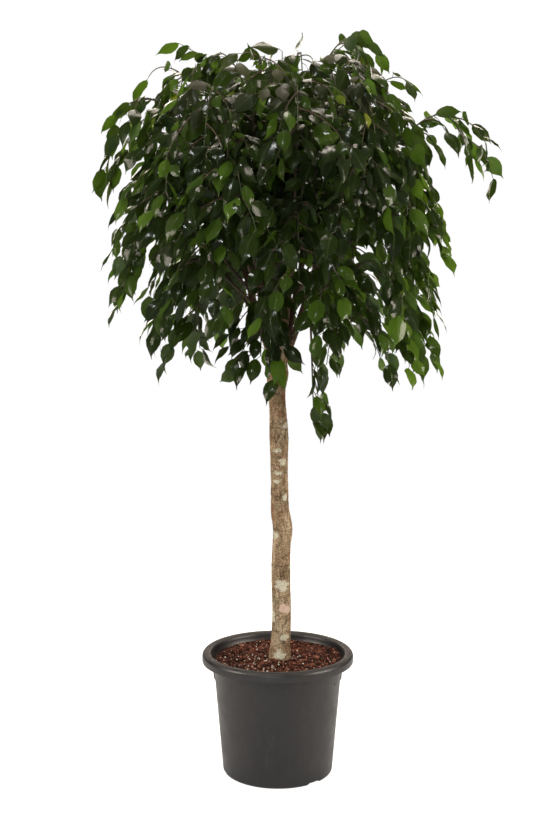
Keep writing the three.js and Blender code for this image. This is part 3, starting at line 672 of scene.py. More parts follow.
def turned(points, *turns):
    """Sets of points, each turned about X by its roll, then Y by its pitch, then Z by its yaw."""
    for (i, j), angle in zip(((1, 2), (2, 0), (0, 1)), turns[::-1]):
        cosine, sine = np.cos(angle)[:, None], np.sin(angle)[:, None]
        first, second = points[..., i], points[..., j]
        points = points.copy()
        points[..., i] = cosine * first - sine * second
        points[..., j] = sine * first + cosine * second
    return points


def scattered(count, reach, clear, towards=None):
    """Random places on the soil, even over its disc, clear of the trunk, or gathered towards a point."""
    radius = reach * np.sqrt(random.random(TRIES * count))
    turn = 2 * np.pi * random.random(TRIES * count)
    at = radius[:, None] * np.stack([np.cos(turn), np.sin(turn)], -1)
    if towards is not None:
        likely = np.exp(-np.sum((at - towards) ** 2, -1) / (2 * DRIFT_WIDE ** 2)) + DRIFT_LEAST
        at = at[random.random(len(at)) < likely]
    return at[np.linalg.norm(at - TRUNK_FOOT, axis=1) > TRUNK_FOOT_RADIUS + clear][:count]


def on_soil(at, lift):
    """Places on the soil raised by a lift, as one point for each set of points."""
    return np.concatenate([at, soil_height(*at.T)[:, None] + lift], -1)[:, None]


at = scattered(CHIPS, *CHIP_PLACES)
size = np.stack([random.uniform(low, high, CHIPS) for low, high in CHIP_SIZES], -1)
size *= between(CHIP_SPREAD, random.random(CHIPS) ** 3)[:, None]
chip = CUBE[None] * size[:, None] * random.uniform(*CHIP_RAGGED, (CHIPS, 8, 3))
chip_rolls = random.uniform(0, ANY_TURN, CHIPS)
chip = turned(chip, chip_rolls, *(random.normal(0, spread, CHIPS) for spread in (CHIP_PITCH, CHIP_YAW)))
chip_tones = np.repeat(random.beta(*CHIP_TONES, CHIPS), 8)
bark_chips = add_piece(
    "bark_chips", MM * (chip + on_soil(at, 0.5 * size[:, 2:])), [many(CUBE_FACES, 8, CHIPS)],
    chip_finish, flat=True, attributes={"tone": chip_tones},
)
at = scattered(PERLITE, *GRAIN_PLACES, towards=PERLITE_DRIFT)
grains = unit(CUBE)[None] * random.uniform(*GRAIN_SIZES, (len(at), 1, 1))
grains = grains * random.uniform(*GRAIN_RAGGED, (len(at), 8, 3))
grains = turned(grains, *random.uniform(0, ANY_TURN, (3, len(at))))
perlite_grains = add_piece(
    "perlite_grains", MM * (grains + on_soil(at, GRAIN_LIFT)), [many(CUBE_FACES, 8, len(at))],
    perlite_finish, flat=True,
)
print("chips", CHIPS, "grains", len(at), "triangles", triangles_in(bark_chips) + triangles_in(perlite_grains))
at = scattered(FIBRES, *FIBRE_PLACES)
fibre_turn = random.uniform(0, 2 * np.pi, FIBRES)
fibre_run = np.stack([np.cos(fibre_turn), np.sin(fibre_turn), 0.25 * random.normal(0, 1, FIBRES)], -1)
fibre_side = np.stack([-np.sin(fibre_turn), np.cos(fibre_turn), 0.6 + 0 * fibre_turn], -1)
fibre_share = np.linspace(-0.5, 0.5, FIBRE_STEPS)[None, :, None]
fibre_bow = (0.25 - fibre_share**2) * random.normal(0, 0.6, FIBRES)[:, None, None]
fibre_path = fibre_share * fibre_run[:, None] + fibre_bow * fibre_side[:, None]
fibre_path = random.uniform(*FIBRE_LENGTHS, FIBRES)[:, None, None] * fibre_path + on_soil(at, FIBRE_LIFT)
fibre_points, fibre_faces, _ = tubes(fibre_path, np.full((FIBRES, FIBRE_STEPS), FIBRE_RADIUS), FIBRE_SIDES)
fibre_tones = np.repeat(random.uniform(*FIBRE_TONES, FIBRES), FIBRE_STEPS * FIBRE_SIDES)
coir_fibres = add_piece(
    "coir_fibres", MM * fibre_points, fibre_faces, chip_finish, attributes={"tone": fibre_tones},
)
print("fibres", FIBRES, "triangles", triangles_in(coir_fibres))

# %% [markdown]
# The trunk of a standard is one old stem, kept bare, whose head was cut so that it broke into several
# limbs. Its centre line and thickness are a list of stations. The limbs and the stub of the cut stem are
# tubes that start inside it. A voxel Remesh joins them all into one skin, with soft crotches as wood has,
# and the bark's relief is then pushed out along that skin from layered noise.

# %% trunk and limbs
TRUNK_STATIONS = np.array([
    # height, centre x, centre y, radius
    (205, 7, 2, 27), (250, 7, 1, 36), (305, 5, 0, 30), (350, 8, -1, 26), (440, 10.6, -2, 25.2),
    (545, 8, 0, 25), (600, 9, 2, 23.8), (651, 13, 3, 25.6), (704, 5.4, 2, 24.6), (785, 4, -1, 22.3),
    (890, 2.6, -3, 24.8), (969, 0, -1, 22.3), (1021, -3.9, 0, 23.4), (1064, -1, 0, 28), (1104, 0, 0, 21),
], float)
TRUNK_STEPS, TRUNK_SIDES, LIMB_STEPS, STUB_STEPS, LIMB_SIDES = 120, 72, 24, 6, 20
LIMB_COUNT, LIMB_ROOT_Z, LIMB_FIRST_DEG = 6, 1066.0, 22.0
LIMB_HANDLES = ((0.21, 1120.0), (0.66, 1250.0))
LIMB_END_RADIUS, LIMB_END_Z, LIMB_THICKNESS = (98, 125), (1415, 1475), (11.5, 6.0)
LEADER = np.array([(0, 0, 1066), (-6, 10, 1250), (12, -8, 1430), (8, 0, 1610)], float)
STUB, STUB_THICKNESS = np.array([[(-5, -3, 1035), (-20, -7, 1102)]], float), (13.0, 9.5)
WOOD_VOXEL, WOOD_SOFTENED = 0.0022, 4


def draw(a, b):
    """A repeatable random number from 0 to 1 for item b of thing a: the tail of a large sine."""
    whirl = np.sin(a * 12.9898 + b * 78.233) * 43758.5453
    return whirl - np.floor(whirl)


def catmull(stations, count):
    """A smooth curve through stations, by Catmull-Rom's cubic between each two, in even steps of height."""
    rows = np.vstack([2 * stations[0] - stations[1], stations, 2 * stations[-1] - stations[-2]])
    z = np.linspace(stations[0, 0], stations[-1, 0], count)
    i = np.clip(np.searchsorted(stations[:, 0], z, "right"), 1, len(stations) - 1)
    t = ((z - stations[i - 1, 0]) / (stations[i, 0] - stations[i - 1, 0]))[:, None]
    a, b, c, d = rows[i - 1], rows[i], rows[i + 1], rows[i + 2]
    curve = 0.5 * (2 * b + (c - a) * t + (2 * a - 5 * b + 4 * c - d) * t**2 + (3 * b - a - 3 * c + d) * t**3)
    return z, curve


def limb_handles(index):
    """The four handles of a limb. Limb 0 is the leader, and the others fan out round it."""
    if index == 0:
        return LEADER
    out = bearing(LIMB_FIRST_DEG + 360 * (index - 1) / LIMB_COUNT)
    radius = between(LIMB_END_RADIUS, draw(index, 900))
    rises = [(0.0, LIMB_ROOT_Z), *LIMB_HANDLES, (1.0, between(LIMB_END_Z, draw(index, 901)))]
    return np.array([out * share * radius + UP * z for share, z in rises])


limbs = np.array([limb_handles(i) for i in range(LIMB_COUNT + 1)])
trunk_z, trunk_line = catmull(TRUNK_STATIONS, TRUNK_STEPS)
trunk_path = np.stack([trunk_line[:, 1], trunk_line[:, 2], trunk_z], -1)[None]
wood_tubes = [
    tubes(trunk_path, trunk_line[None, :, 3], TRUNK_SIDES),
    tapering(limbs, LIMB_THICKNESS, LIMB_STEPS, LIMB_SIDES),
    tapering(STUB, STUB_THICKNESS, STUB_STEPS, LIMB_SIDES, even=False),
]
tube_points, tube_faces = join_blocks([made[:2] for made in wood_tubes])
wood = add_object("wood_parts", make_mesh("wood_parts", MM * tube_points, tube_faces))
remesh = wood.modifiers.new("one_skin", "REMESH")
remesh.mode = "VOXEL"
remesh.voxel_size = WOOD_VOXEL
soften = wood.modifiers.new("soft_crotches", "SMOOTH")
soften.iterations = WOOD_SOFTENED
skin = with_modifiers(wood)
bpy.data.objects.remove(wood)
print("wood skin:", len(skin.vertices), "points")

# %% [markdown]
# Fig bark is thin and pale, grey to tan, with fine dark cracks, rows of pores across the stem, and in a
# nursery often blotches of grey-green lichen and healed scars. The relief comes from noise stretched
# along the stem for the cracks and across it for the pores. The blotches are spots at given heights and
# angles, held as attributes of the mesh, so that the finish can colour them wherever they fall.

# %% bark relief and blotches
LICHEN_SPOTS = (
    # height, degrees from the front, half height, half width in mm
    (507, 2, 12, 18), (368, 20, 8, 12), (322, -4, 12, 15), (865, -14, 6, 8), (835, 22, 8, 10),
    (806, -12, 5, 12), (783, -20, 6, 9), (742, 34, 8, 8), (930, 40, 9, 9), (640, -50, 12, 10),
    (420, -65, 16, 12), (560, 120, 22, 18), (380, 170, 18, 22), (700, 210, 20, 16), (880, 150, 16, 18),
    (450, 250, 20, 16), (990, 260, 12, 12),
)
SCAR_SPOTS = ((445, 22, 14, 14), (668, 150, 14, 12))
RUST_SPOTS = (
    (697, -8, 7, 5), (960, 10, 10, 8), (1062, 0, 22, 24), (694, -66, 26, 11), (1010, 60, 16, 8),
    (590, 80, 14, 9),
)
RING_HEIGHTS = (1012.0, 924.0, 808.0, 742.0, 655.0, 560.0)
MEAN_TRUNK_RADIUS = 24.0
RING_WANDER, RING_TILT, RING_FADE = 3.5, 0.12, (0.5, 2.4)
CRACK_RELIEF, CRACK_TONES, LIMB_TONES = (0.82, 1.0), (0.84, 1.0), (1080, 1200)
SPOT_FADE, SPOT_RAGGED = (0.75, 1.15), ((0.55, 7.0), (0.35, 2.6))
BARK_NOISES = (
    # cell across, cell along and seed of the cracks, the pores, the lumps and the grain
    (7.0, 30.0, 3), (16.0, 3.2, 4), (26.0, 45.0, 5), (4.0, 7.0, 6),
)
LUMPS_PROUD, PORES_PROUD, GRAIN_PROUD, CRACKS_DEEP, LICHEN_PROUD = 0.9, 0.3, 0.35, 1.1, 0.35
SCAR_SMOOTH, LIMB_RELIEF, TRUNK_ENDS = 0.7, 0.35, (1090, 1190)


def blotch(spots, seed):
    """1 inside ragged spots on the wood and 0 outside: distance in heights and widths, roughened by noise."""
    centre = np.interp(wood_points[:, 2], trunk_z, trunk_line[:, 1])
    angle = np.degrees(np.arctan2(wood_points[:, 0] - centre, -wood_points[:, 1]))
    ragged = sum(
        share * lattice_noise(wood_points, cell, seed + i) for i, (share, cell) in enumerate(SPOT_RAGGED)
    )
    found = 0 * angle
    for z, degrees, high, wide in spots:
        across = np.radians((angle - degrees + 180) % 360 - 180) * MEAN_TRUNK_RADIUS
        away = np.hypot((wood_points[:, 2] - z) / high, across / wide)
        found = np.maximum(found, 1 - smooth_step(away + ragged, *SPOT_FADE))
    return found


count = len(skin.vertices)
wood_points, wood_normals = np.empty(3 * count), np.empty(3 * count)
skin.vertices.foreach_get("co", wood_points)
skin.vertices.foreach_get("normal", wood_normals)
wood_points, wood_normals = wood_points.reshape(-1, 3) / MM, wood_normals.reshape(-1, 3)
ridges, pores, lumps, grain = (
    lattice_noise(wood_points, np.array([across, across, along]), seed) for across, along, seed in BARK_NOISES
)
cracks = 1 - np.abs(ridges)
relief = LUMPS_PROUD * lumps + PORES_PROUD * pores + GRAIN_PROUD * grain
relief -= CRACKS_DEEP * smooth_step(cracks, *CRACK_RELIEF)
lichen, scars, rust = blotch(LICHEN_SPOTS, 11), blotch(SCAR_SPOTS, 21), blotch(RUST_SPOTS, 31)
ring_place = wood_points[:, 2] + RING_WANDER * pores + RING_TILT * wood_points[:, 0]
rings = 1 - smooth_step(np.min([np.abs(ring_place - z) for z in RING_HEIGHTS], 0), *RING_FADE)
relief = relief * (1 - SCAR_SMOOTH * scars) + LICHEN_PROUD * lichen
is_trunk = 1 - smooth_step(wood_points[:, 2], *TRUNK_ENDS)
wood_points += wood_normals * (relief * between((LIMB_RELIEF, 1.0), is_trunk))[:, None]
bark_attributes = {
    "crack": np.maximum(smooth_step(cracks, *CRACK_TONES), rings), "lichen": lichen, "scar": scars,
    "rust": rust, "limb": smooth_step(wood_points[:, 2], *LIMB_TONES),
}
print("bark relief from", round(relief.min(), 2), "to", round(relief.max(), 2), "mm")

# %% bark finish
bark_finish = Finish("fig_bark", roughness=0.85, specular_ior_level=0.25)
bark_base = bark_finish.ramp(
    bark_finish.noise(22, 6, 0.6, stretch=(1, 1, 0.6), warp=0.4),
    (0.28, (0.19, 0.115, 0.060)), (0.5, (0.48, 0.345, 0.205)), (0.7, (0.70, 0.57, 0.385)),
)
moss = bark_finish.patches(34, 5, 0.5, 0.66, 0.5, rough=0.65)
stains = bark_finish.patches(40, 7, 0.51, 0.62, 0.72, rough=0.75, stretch=(1, 1, 1.2))
specks = bark_finish.patches(230, 7, 0.47, 0.58, 0.85, rough=0.8, stretch=(1, 1, 1.4))
cross_lines = bark_finish.patches(150, 5, 0.54, 0.66, 0.6, rough=0.6, stretch=(0.5, 0.5, 3.2), warp=0.6)
crust = bark_finish.mix(bark_finish.patches(380, 5, 0.35, 0.6), (0.36, 0.34, 0.23), (0.74, 0.71, 0.57))
healed = bark_finish.mix(bark_finish.noise(260, 5), (0.42, 0.26, 0.19), (0.88, 0.70, 0.58))
bark_finish.to_shader("Base Color", bark_finish.layers(
    bark_base,
    (moss, (0.34, 0.33, 0.20)),
    (stains, (0.15, 0.082, 0.042)),
    (specks, (0.060, 0.034, 0.018)),
    (cross_lines, (0.075, 0.046, 0.025)),
    (bark_finish.times(bark_finish.attribute("crack"), 0.7), (0.045, 0.028, 0.016)),
    (bark_finish.times(bark_finish.attribute("lichen"), 0.95), crust),
    (bark_finish.attribute("scar"), healed),
    (bark_finish.times(bark_finish.attribute("rust"), 0.6), (0.21, 0.085, 0.035)),
    (bark_finish.attribute("limb"), (0.085, 0.050, 0.032)),
))
bark_finish.bump(bark_finish.noise(320, 6, 0.7), 0.0008)
trunk_faces = np.empty(4 * len(skin.polygons), np.int32)
skin.loops.foreach_get("vertex_index", trunk_faces)
trunk_and_limbs = add_piece(
    "trunk_and_limbs", MM * wood_points, [trunk_faces.reshape(-1, 4)], bark_finish, ["trunk"],
    attributes=bark_attributes,
)
bpy.data.meshes.remove(skin)
print("trunk and limbs", triangles_in(trunk_and_limbs), "triangles")

# %% [markdown]
# The head is made of shoots in tiers. Each shoot leaves a limb, rises, arches over a planned height and
# weeps to its tip. The rule and its numbers are those of the CAD source, so the same stems, twigs and
# leaves come out, and this finer head stands exactly where the solids stand. The solids carry only a few
# of the twigs and leaves. Here each shoot has all of its twigs, and leaves all along them.

# %% plan of the shoots
TIERS = (
    # shoots, height passed, reach, height of the tip, spread, turn in degrees
    (4, 1860, 150, 1815, 0.12, 15), (7, 1830, 255, 1735, 0.12, 42), (9, 1760, 350, 1610, 0.09, 4),
    (9, 1630, 385, 1460, 0.07, 24), (8, 1480, 350, 1310, 0.08, 9), (7, 1325, 290, 1195, 0.1, 33),
    (1, 1150, 85, 960, 0, 50),
)
STRAYS = (
    # tier, degrees, height passed, reach, height of the tip
    (0, 96, 1916, 205, 1890), (1, 262, 1840, 320, 1800), (1, 88, 1800, 275, 1740), (2, 281, 1750, 375, 1680),
    (2, 84, 1722, 472, 1628), (4, 100, 1430, 350, 1150), (5, 345, 1270, 165, 1120), (5, 290, 1350, 275, 1272),
)
TURN_SPREAD, TIP_SPREAD, LEADER_SHOOTS_OVER, ROOT_SHARES = 0.3, 500.0, 1850.0, (0.3, 0.985)
HEAD_CENTRE = np.array([8.0, 0.0, 0.0])
STEM_LEAVE_OUT, STEM_LEAVE_UP, STEM_LEAVE_MORE = 0.35, 0.55, 20.0
ARCH_SHARE, ARCH_LEAN = 0.72, 0.86


def shoot_plans():
    """Every shoot's bearing, arch, reach and tip, the limb it leaves, and the place of its root there."""
    plans = []
    for tier, (shoots, over, reach, tip, spread, first) in enumerate(TIERS):
        for i in range(shoots):
            number = len(plans) + 1
            plans.append({
                "id": number, "tier": tier, "over": over,
                "degrees": first + 360 * (i + TURN_SPREAD * (draw(number, 1) - 0.5)) / shoots,
                "reach": reach * (1 + spread * (2 * draw(number, 2) - 1)),
                "tip": tip + TIP_SPREAD * spread * (draw(number, 3) - 0.5),
            })
    for tier, degrees, over, reach, tip in STRAYS:
        same = [plan for plan in plans if plan["tier"] == tier]
        nearest = min(same, key=lambda plan: abs((plan["degrees"] - degrees + 540) % 360 - 180))
        nearest.update(over=over, reach=reach, tip=tip)
    for plan in plans:
        turned_by = (plan["degrees"] - LIMB_FIRST_DEG + 720) % 360
        near = 1 + math.floor(turned_by * LIMB_COUNT / 360 + 0.5) % LIMB_COUNT
        plan["limb"] = 0 if plan["over"] > LEADER_SHOOTS_OVER else near
    for limb in range(LIMB_COUNT + 1):
        here = sorted((p for p in plans if p["limb"] == limb), key=lambda p: (p["over"], p["id"]))
        for rank, plan in enumerate(here):
            plan["root"] = between(ROOT_SHARES, (rank + 1) / len(here))
    return plans


def stem_handles(plan):
    """An arch as four handles, the third set so that the stem passes its planned height at ARCH_SHARE."""
    limb = limbs[plan["limb"]][None]
    root = bezier(limb, by_length(limb, np.array([[plan["root"]]]))[0])[0, 0]
    out = bearing(plan["degrees"])
    rise = max(plan["over"] - root[2], 0)
    first = root + out * STEM_LEAVE_OUT * plan["reach"] + UP * (STEM_LEAVE_UP * rise + STEM_LEAVE_MORE)
    t, u = ARCH_SHARE, 1 - ARCH_SHARE
    rest = u**3 * root[2] + 3 * t * u * u * first[2] + t**3 * plan["tip"]
    third = HEAD_CENTRE + out * ARCH_LEAN * plan["reach"] + UP * (plan["over"] - rest) / (3 * t * t * u)
    return np.array([root, first, third, HEAD_CENTRE + out * plan["reach"] + UP * plan["tip"]])


plans = shoot_plans()
stems = np.array([stem_handles(plan) for plan in plans])
ids = np.array([plan["id"] for plan in plans])
print("shoots:", len(plans), "highest handle", round(stems[:, :, 2].max()), "mm")

# %% twigs
TWIGS = 10
TWIG_PLACES, TWIG_LENGTH = (0.34, 0.97), (110.0, 190.0)
TWIG_SIDE, TWIG_UP, TWIG_DROP = (0.55, 1.05), (0.0, 0.3), (0.3, 0.6)
TWIG_ALONG, TWIG_OUT, TWIG_BEND, TWIG_END = 0.55, 0.35, 0.5, 0.72
TWIG_FULL_REACH = 260.0


def outward(points):
    """The level direction straight out from the head's axis at each point."""
    flat = (points - HEAD_CENTRE) * np.array([1.0, 1.0, 0.0])
    return np.where(np.sum(flat**2, -1, keepdims=True) > 1, unit(flat), np.array([0.0, -1.0, 0.0]))


def twig_handles():
    """Three handles for each twig of each shoot: it leaves the stem on alternate sides and weeps."""
    j = np.arange(TWIGS)[None]

    def drawn(ends, item):
        """A value between two ends, drawn for each twig."""
        return between(ends, draw(ids[:, None], item + j))[..., None]

    at = by_length(stems, between(TWIG_PLACES, (j + 0.5 * draw(ids[:, None], 10 + j)) / TWIGS))[0]
    root = bezier(stems, at)
    out = outward(root)
    side = np.cross(UP, out) * np.where(j % 2, -1, 1)[..., None]
    reach = np.array([plan["reach"] for plan in plans])[:, None, None]
    length = drawn(TWIG_LENGTH, 30) * np.minimum(1, reach / TWIG_FULL_REACH)
    leave = heading(stems, at) * TWIG_ALONG + out * TWIG_OUT + side * drawn(TWIG_SIDE, 50)
    leave = unit(leave + UP * drawn(TWIG_UP, 70))
    end = root + leave * TWIG_END * length - UP * length * drawn(TWIG_DROP, 90)
    return np.stack([root, root + leave * TWIG_BEND * length, end], 2)


twigs = twig_handles()
print("twigs:", twigs.shape[0] * twigs.shape[1])

# %% [markdown]
# A fig leaf is oval with a long drip tip. It hangs from a thin stalk, is folded a little along its
# midrib, and its edge waves. One leaf is a grid of rows and columns: the row gives the place along the
# blade, and the column the place across it. The two faces share their rim, so the thin shell is closed.
# All leaves of a shoot are worked out together by giving that grid a base, a direction and a size for
# each leaf.

# %% one leaf
LEAF_SPACING, LEAF_LAST, LEAFLESS_ROOT, LEAF_LENGTH = 24.0, 0.999, 20.0, (60.0, 82.0)
LEAF_STALK = (0.55, 0.75, 0.2)  # along the twig, across it, and out
LEAF_HANG = (0.5, 0.4, -0.6, 0.12, 0.38)  # along the stalk, along the twig, up, out, and astray
LEAF_FACING = (0.78, 0.62, 0.7)  # out, up, and astray
LEAF_ARCH, LEAF_FOLD, LEAF_DROOP, LEAF_BENDS = 0.06, 0.2, 0.07, ((0.5, 2.4), (0.4, 2.6), (0.2, 1.7))
BLADE_THICKNESS, STALK_RADIUS, STALK_LENGTH, WAVE_MM, WAVES = 0.8, 0.8, 13.0, 2.0, 1.6
BASE_THICKENS = 12  # how fast the blade reaches its thickness from its base
ROW_PLACES = np.array([0.0, 0.08, 0.22, 0.42, 0.6, 0.74, 0.85])
ROW_WIDTHS = np.array([0.08, 0.55, 0.92, 1.0, 0.84, 0.46, 0.13])
COLUMNS = np.array([-1.0, -0.5, 0.0, 0.5, 1.0])
ROWS, ACROSS = len(ROW_PLACES), len(COLUMNS)
TIP = ROWS * ACROSS
BLADE_POINTS = TIP + 1 + (ROWS - 1) * (ACROSS - 2)


def leaf_faces():
    """Faces of one blade: a grid and a fan at the tip, then the same below with its own inner points."""
    above = np.arange(TIP).reshape(ROWS, ACROSS)
    below = above.copy()
    below[1:, 1:-1] = TIP + 1 + np.arange((ROWS - 1) * (ACROSS - 2)).reshape(ROWS - 1, ACROSS - 2)
    quads, fans = [], []
    for grid, step in ((above, 1), (below, -1)):
        corners = [grid[:-1, :-1], grid[:-1, 1:], grid[1:, 1:], grid[1:, :-1]]
        quads.append(np.stack([corners[0], *corners[:0:-1]] if step < 0 else corners, -1).reshape(-1, 4))
        fans.append(np.stack([*(grid[-1, :-1], grid[-1, 1:])[::step], np.full(ACROSS - 1, TIP)], -1))
    return np.concatenate(quads), np.concatenate(fans)


def weigh(shares, *directions):
    """The sum of some directions, each multiplied by its share."""
    return sum(share * direction for share, direction in zip(shares, directions))


def leaf_plans(seeds, handles, at, k):
    """Where each leaf sits and how it hangs, from the same sums and random draws as the CAD source."""
    base, run = bezier(handles, at[:, None])[:, 0], heading(handles, at[:, None])[:, 0]
    out = outward(base)
    drawn = [draw(seeds, 200 + 7 * k + n) for n in range(7)]
    stray = [2 * np.stack(drawn[n:n + 3], -1) - 1 for n in (0, 3)]
    face = square_to(out + UP, run)
    across = np.cross(run, face) * np.where(k % 2, -1, 1)[:, None]
    stalk = unit(weigh(LEAF_STALK, run, across, face))
    axis = unit(weigh(LEAF_HANG, stalk, run, UP, out, stray[0]))
    normal = square_to(weigh(LEAF_FACING, out, UP, stray[1]), axis)
    return base, stalk, axis, normal, between(LEAF_LENGTH, drawn[6])


def leaf_blades(neck, axis, normal, length, width, phase, bend):
    """Points of every blade: along by row, across by column, lifted by arch, fold, droop and wave."""
    u, share = np.append(np.repeat(ROW_PLACES, ACROSS), 1.0), np.append(np.tile(COLUMNS, ROWS), 1.0)
    v = np.append(0.5 * share[:-1] * np.repeat(ROW_WIDTHS, ACROSS), 0.0) * width[:, None]
    arch, droop, fold = (between(ends, drawn[:, None]) for ends, drawn in zip(LEAF_BENDS, bend))
    lift = LEAF_ARCH * arch * np.sin(np.pi * u) - LEAF_DROOP * droop * u**3 - LEAF_FOLD * fold * np.abs(v)
    swing = np.sin(2 * np.pi * (WAVES * u + phase[:, None]))
    wave = WAVE_MM * share * np.abs(share) * swing * np.sin(np.pi * u)
    places = (u * length[:, None], v * length[:, None], lift * length[:, None] + wave)
    directions = (axis, np.cross(axis, normal), normal)
    middle = neck[:, None] + weigh([place[..., None] for place in places], *(d[:, None] for d in directions))
    thick = 0.5 * BLADE_THICKNESS * (1 - share**2) * np.minimum(1, BASE_THICKENS * u)
    half = normal[:, None] * thick[:, None]
    inner = np.arange(TIP).reshape(ROWS, ACROSS)[1:, 1:-1].ravel()
    points = np.concatenate([middle + half, (middle - half)[:, inner]], 1)
    return points, np.append(u, u[inner]), np.append(share, share[inner])


BLADE_QUADS, BLADE_FANS = leaf_faces()
print("one leaf:", len(BLADE_QUADS) + len(BLADE_FANS), "faces on", BLADE_POINTS, "points")

# %% [markdown]
# The leaves are leathery and glossy. Old ones are a deep green and others, at random, are fresher, and
# the young ones high up are lime or yellow. Round three places at the sides of the head the leaves get a
# lighter tone: painted light, for the light that falls on those sides. The veins are a pale midrib and fine
# side veins in a herringbone. They follow the leaf, so they read two attributes, along and across, and not
# a place in space. The underside is paler and dull. Old leaves high at the crest that face up are duller
# and are painted olive-grey: a painted sheen, for the light from above that they reflect. A leaf also
# lets some light through, so the outer ones glow a little against the bright wall behind.

# %% leaf and twig finishes
THROUGH_SHARE, VEIN_PAIRS, VEIN_SLANT = 0.35, 11.0, 1.6

leaf_finish = Finish("fig_leaf")
along, across, tone, dull_and_painted_sheen, underside = (
    leaf_finish.attribute(name) for name in ("along", "across", "tone", "dull_and_painted_sheen", "underside")
)
leaf_green = leaf_finish.ramp(
    tone, (0.0, (0.007, 0.011, 0.004)), (0.35, (0.018, 0.030, 0.007)), (0.6, (0.042, 0.080, 0.011)),
    (0.85, (0.088, 0.165, 0.015)), (0.93, (0.12, 0.20, 0.02)), (1.0, (0.34, 0.30, 0.04)),
)
leaf_mottle = leaf_finish.fit(leaf_finish.noise(140, 4), 0.3, 0.7, 0.82, 1.15)
leaf_mottled = leaf_finish.mix(1.0, leaf_green, leaf_finish.grey(leaf_mottle), "MULTIPLY")
side_way = leaf_finish.calc("ABSOLUTE", across)
vein_phase = leaf_finish.calc("MULTIPLY_ADD", side_way, -VEIN_SLANT, leaf_finish.times(along, VEIN_PAIRS))
vein_wave = leaf_finish.calc("ABSOLUTE", leaf_finish.calc("SINE", leaf_finish.times(vein_phase, math.pi)))
side_vein = leaf_finish.times(leaf_finish.fit(vein_wave, 0.0, 0.22, 1.0, 0.0), 0.35)
veins = leaf_finish.calc("MAXIMUM", leaf_finish.fit(side_way, 0.03, 0.09, 1.0, 0.0), side_vein)
leaf_veined = leaf_finish.mix(leaf_finish.times(veins, 0.4), leaf_mottled, (0.10, 0.17, 0.05))
leaf_under = leaf_finish.mix(0.55, leaf_veined, (0.075, 0.12, 0.055))
# Painted sheen: old leaves that face up high at the crest are mixed toward olive-grey, standing in for the
# light from above that they reflect.
leaf_finish.to_shader("Base Color", leaf_finish.layers(
    leaf_veined, (leaf_finish.times(dull_and_painted_sheen, 0.7), (0.098, 0.088, 0.056)), (underside, leaf_under),
))
leaf_finish.to_shader("Specular IOR Level", leaf_finish.calc("MULTIPLY_ADD", dull_and_painted_sheen, -0.24, 0.3))
leaf_shine = leaf_finish.fit(leaf_finish.noise(60, 3), 0.3, 0.7, 0.10, 0.20)
leaf_dulled = leaf_finish.calc("MULTIPLY_ADD", dull_and_painted_sheen, 0.5, leaf_shine)
leaf_finish.to_shader("Roughness", leaf_finish.calc("MULTIPLY_ADD", underside, 0.2, leaf_dulled))
leaf_finish.bump(veins, 0.0004)
leaf_glow = leaf_finish.ramp(
    tone, (0.0, (0.28, 0.38, 0.10)), (0.6, (0.44, 0.62, 0.14)), (0.92, (0.50, 0.72, 0.14)),
    (1.0, (0.80, 0.76, 0.20)),
)
leaf_through = leaf_finish.add("BsdfTranslucent", {"Color": leaf_glow}).outputs[0]
leaf_shaders = {0: THROUGH_SHARE, 1: leaf_finish.shader.outputs[0], 2: leaf_through}
leaf_both = leaf_finish.add("MixShader", leaf_shaders).outputs[0]
leaf_finish.feed(leaf_finish.tree.nodes["Material Output"].inputs["Surface"], leaf_both)
twig_finish = Finish("fig_twig", roughness=0.7)
twig_finish.to_shader("Base Color", twig_finish.ramp(
    twig_finish.attribute("along"),
    (0.0, (0.070, 0.040, 0.025)), (0.55, (0.075, 0.055, 0.026)), (1.0, (0.050, 0.085, 0.024)),
))
twig_finish.bump(twig_finish.noise(400, 4), 0.0003)
print("finishes: leaf, twig")

# %% leafy shoots
STEM_THICKNESS, STEM_STEPS, STEM_SIDES = (4.2, 1.4), 26, 6
TWIG_THICKNESS, TWIG_STEPS, TWIG_TUBE_SIDES = (1.9, 1.0), 7, 4
BARE_SHARE_OF_STEM, BOX_SLACK = 0.3, 0.036
LEAF_ROLL, LEAF_WIDTHS, LEAF_SIZES = math.radians(52), (0.45, 0.57), (0.76, 1.04)
FIRST_LEAF_WIDTH, TOP_LEAF_SIZE = 0.85, 0.9
YOUNG_ABOVE, YOUNG_SHARE, YOUNG_SIZE, YOUNG_TONES = 1690.0, 0.5, 0.5, (0.86, 1.0)
PAINTED_LIGHT_SPOTS = (
    # x, y, height, reach, how much lighter in tone: painted light where the head's sides are lit
    (400, 0, 1230, 175, 0.52), (-430, 0, 1560, 190, 0.25), (440, 0, 1560, 170, 0.25),
)
SPARSE_TIER, SPARSE_SHARE, SPARSE_LEAVES = 6, 0.45, 3
OPEN_ABOVE, OPEN_SHARE = (1600.0, 1720.0), 0.06
# how high, how far facing up and how strong the painted sheen and the dulling of old leaves are
DULL_SHEEN_ABOVE, DULL_SHEEN_FACING, DULL_SHEEN_AMOUNTS = (1640.0, 1820.0), (0.1, 0.7), (0.15, 1.0)
OLD_TONE, TONE_SPAN, TONE_POWER, FRESHEST = 0.5, (0.03, 0.78), 2.4, 0.9
DULL_SHEEN_DRAWN, STALK_BEND = (0.35, 0.95), 0.6
LEAF_DRAWS = {
    "tone": 3000, "wave": 3200, "dull_and_painted_sheen": 3300, "bend": 3400, "young": 3500, "roll": 3700, "size": 3800,
    "sparse": 3900, "open": 4000, "width": 4100,
}


def leaf_draw(use, seeds, k=0):
    """A random number for one use, from the seed of a leaf's curve and the leaf's rank on it."""
    return draw(seeds, LEAF_DRAWS[use] + k)


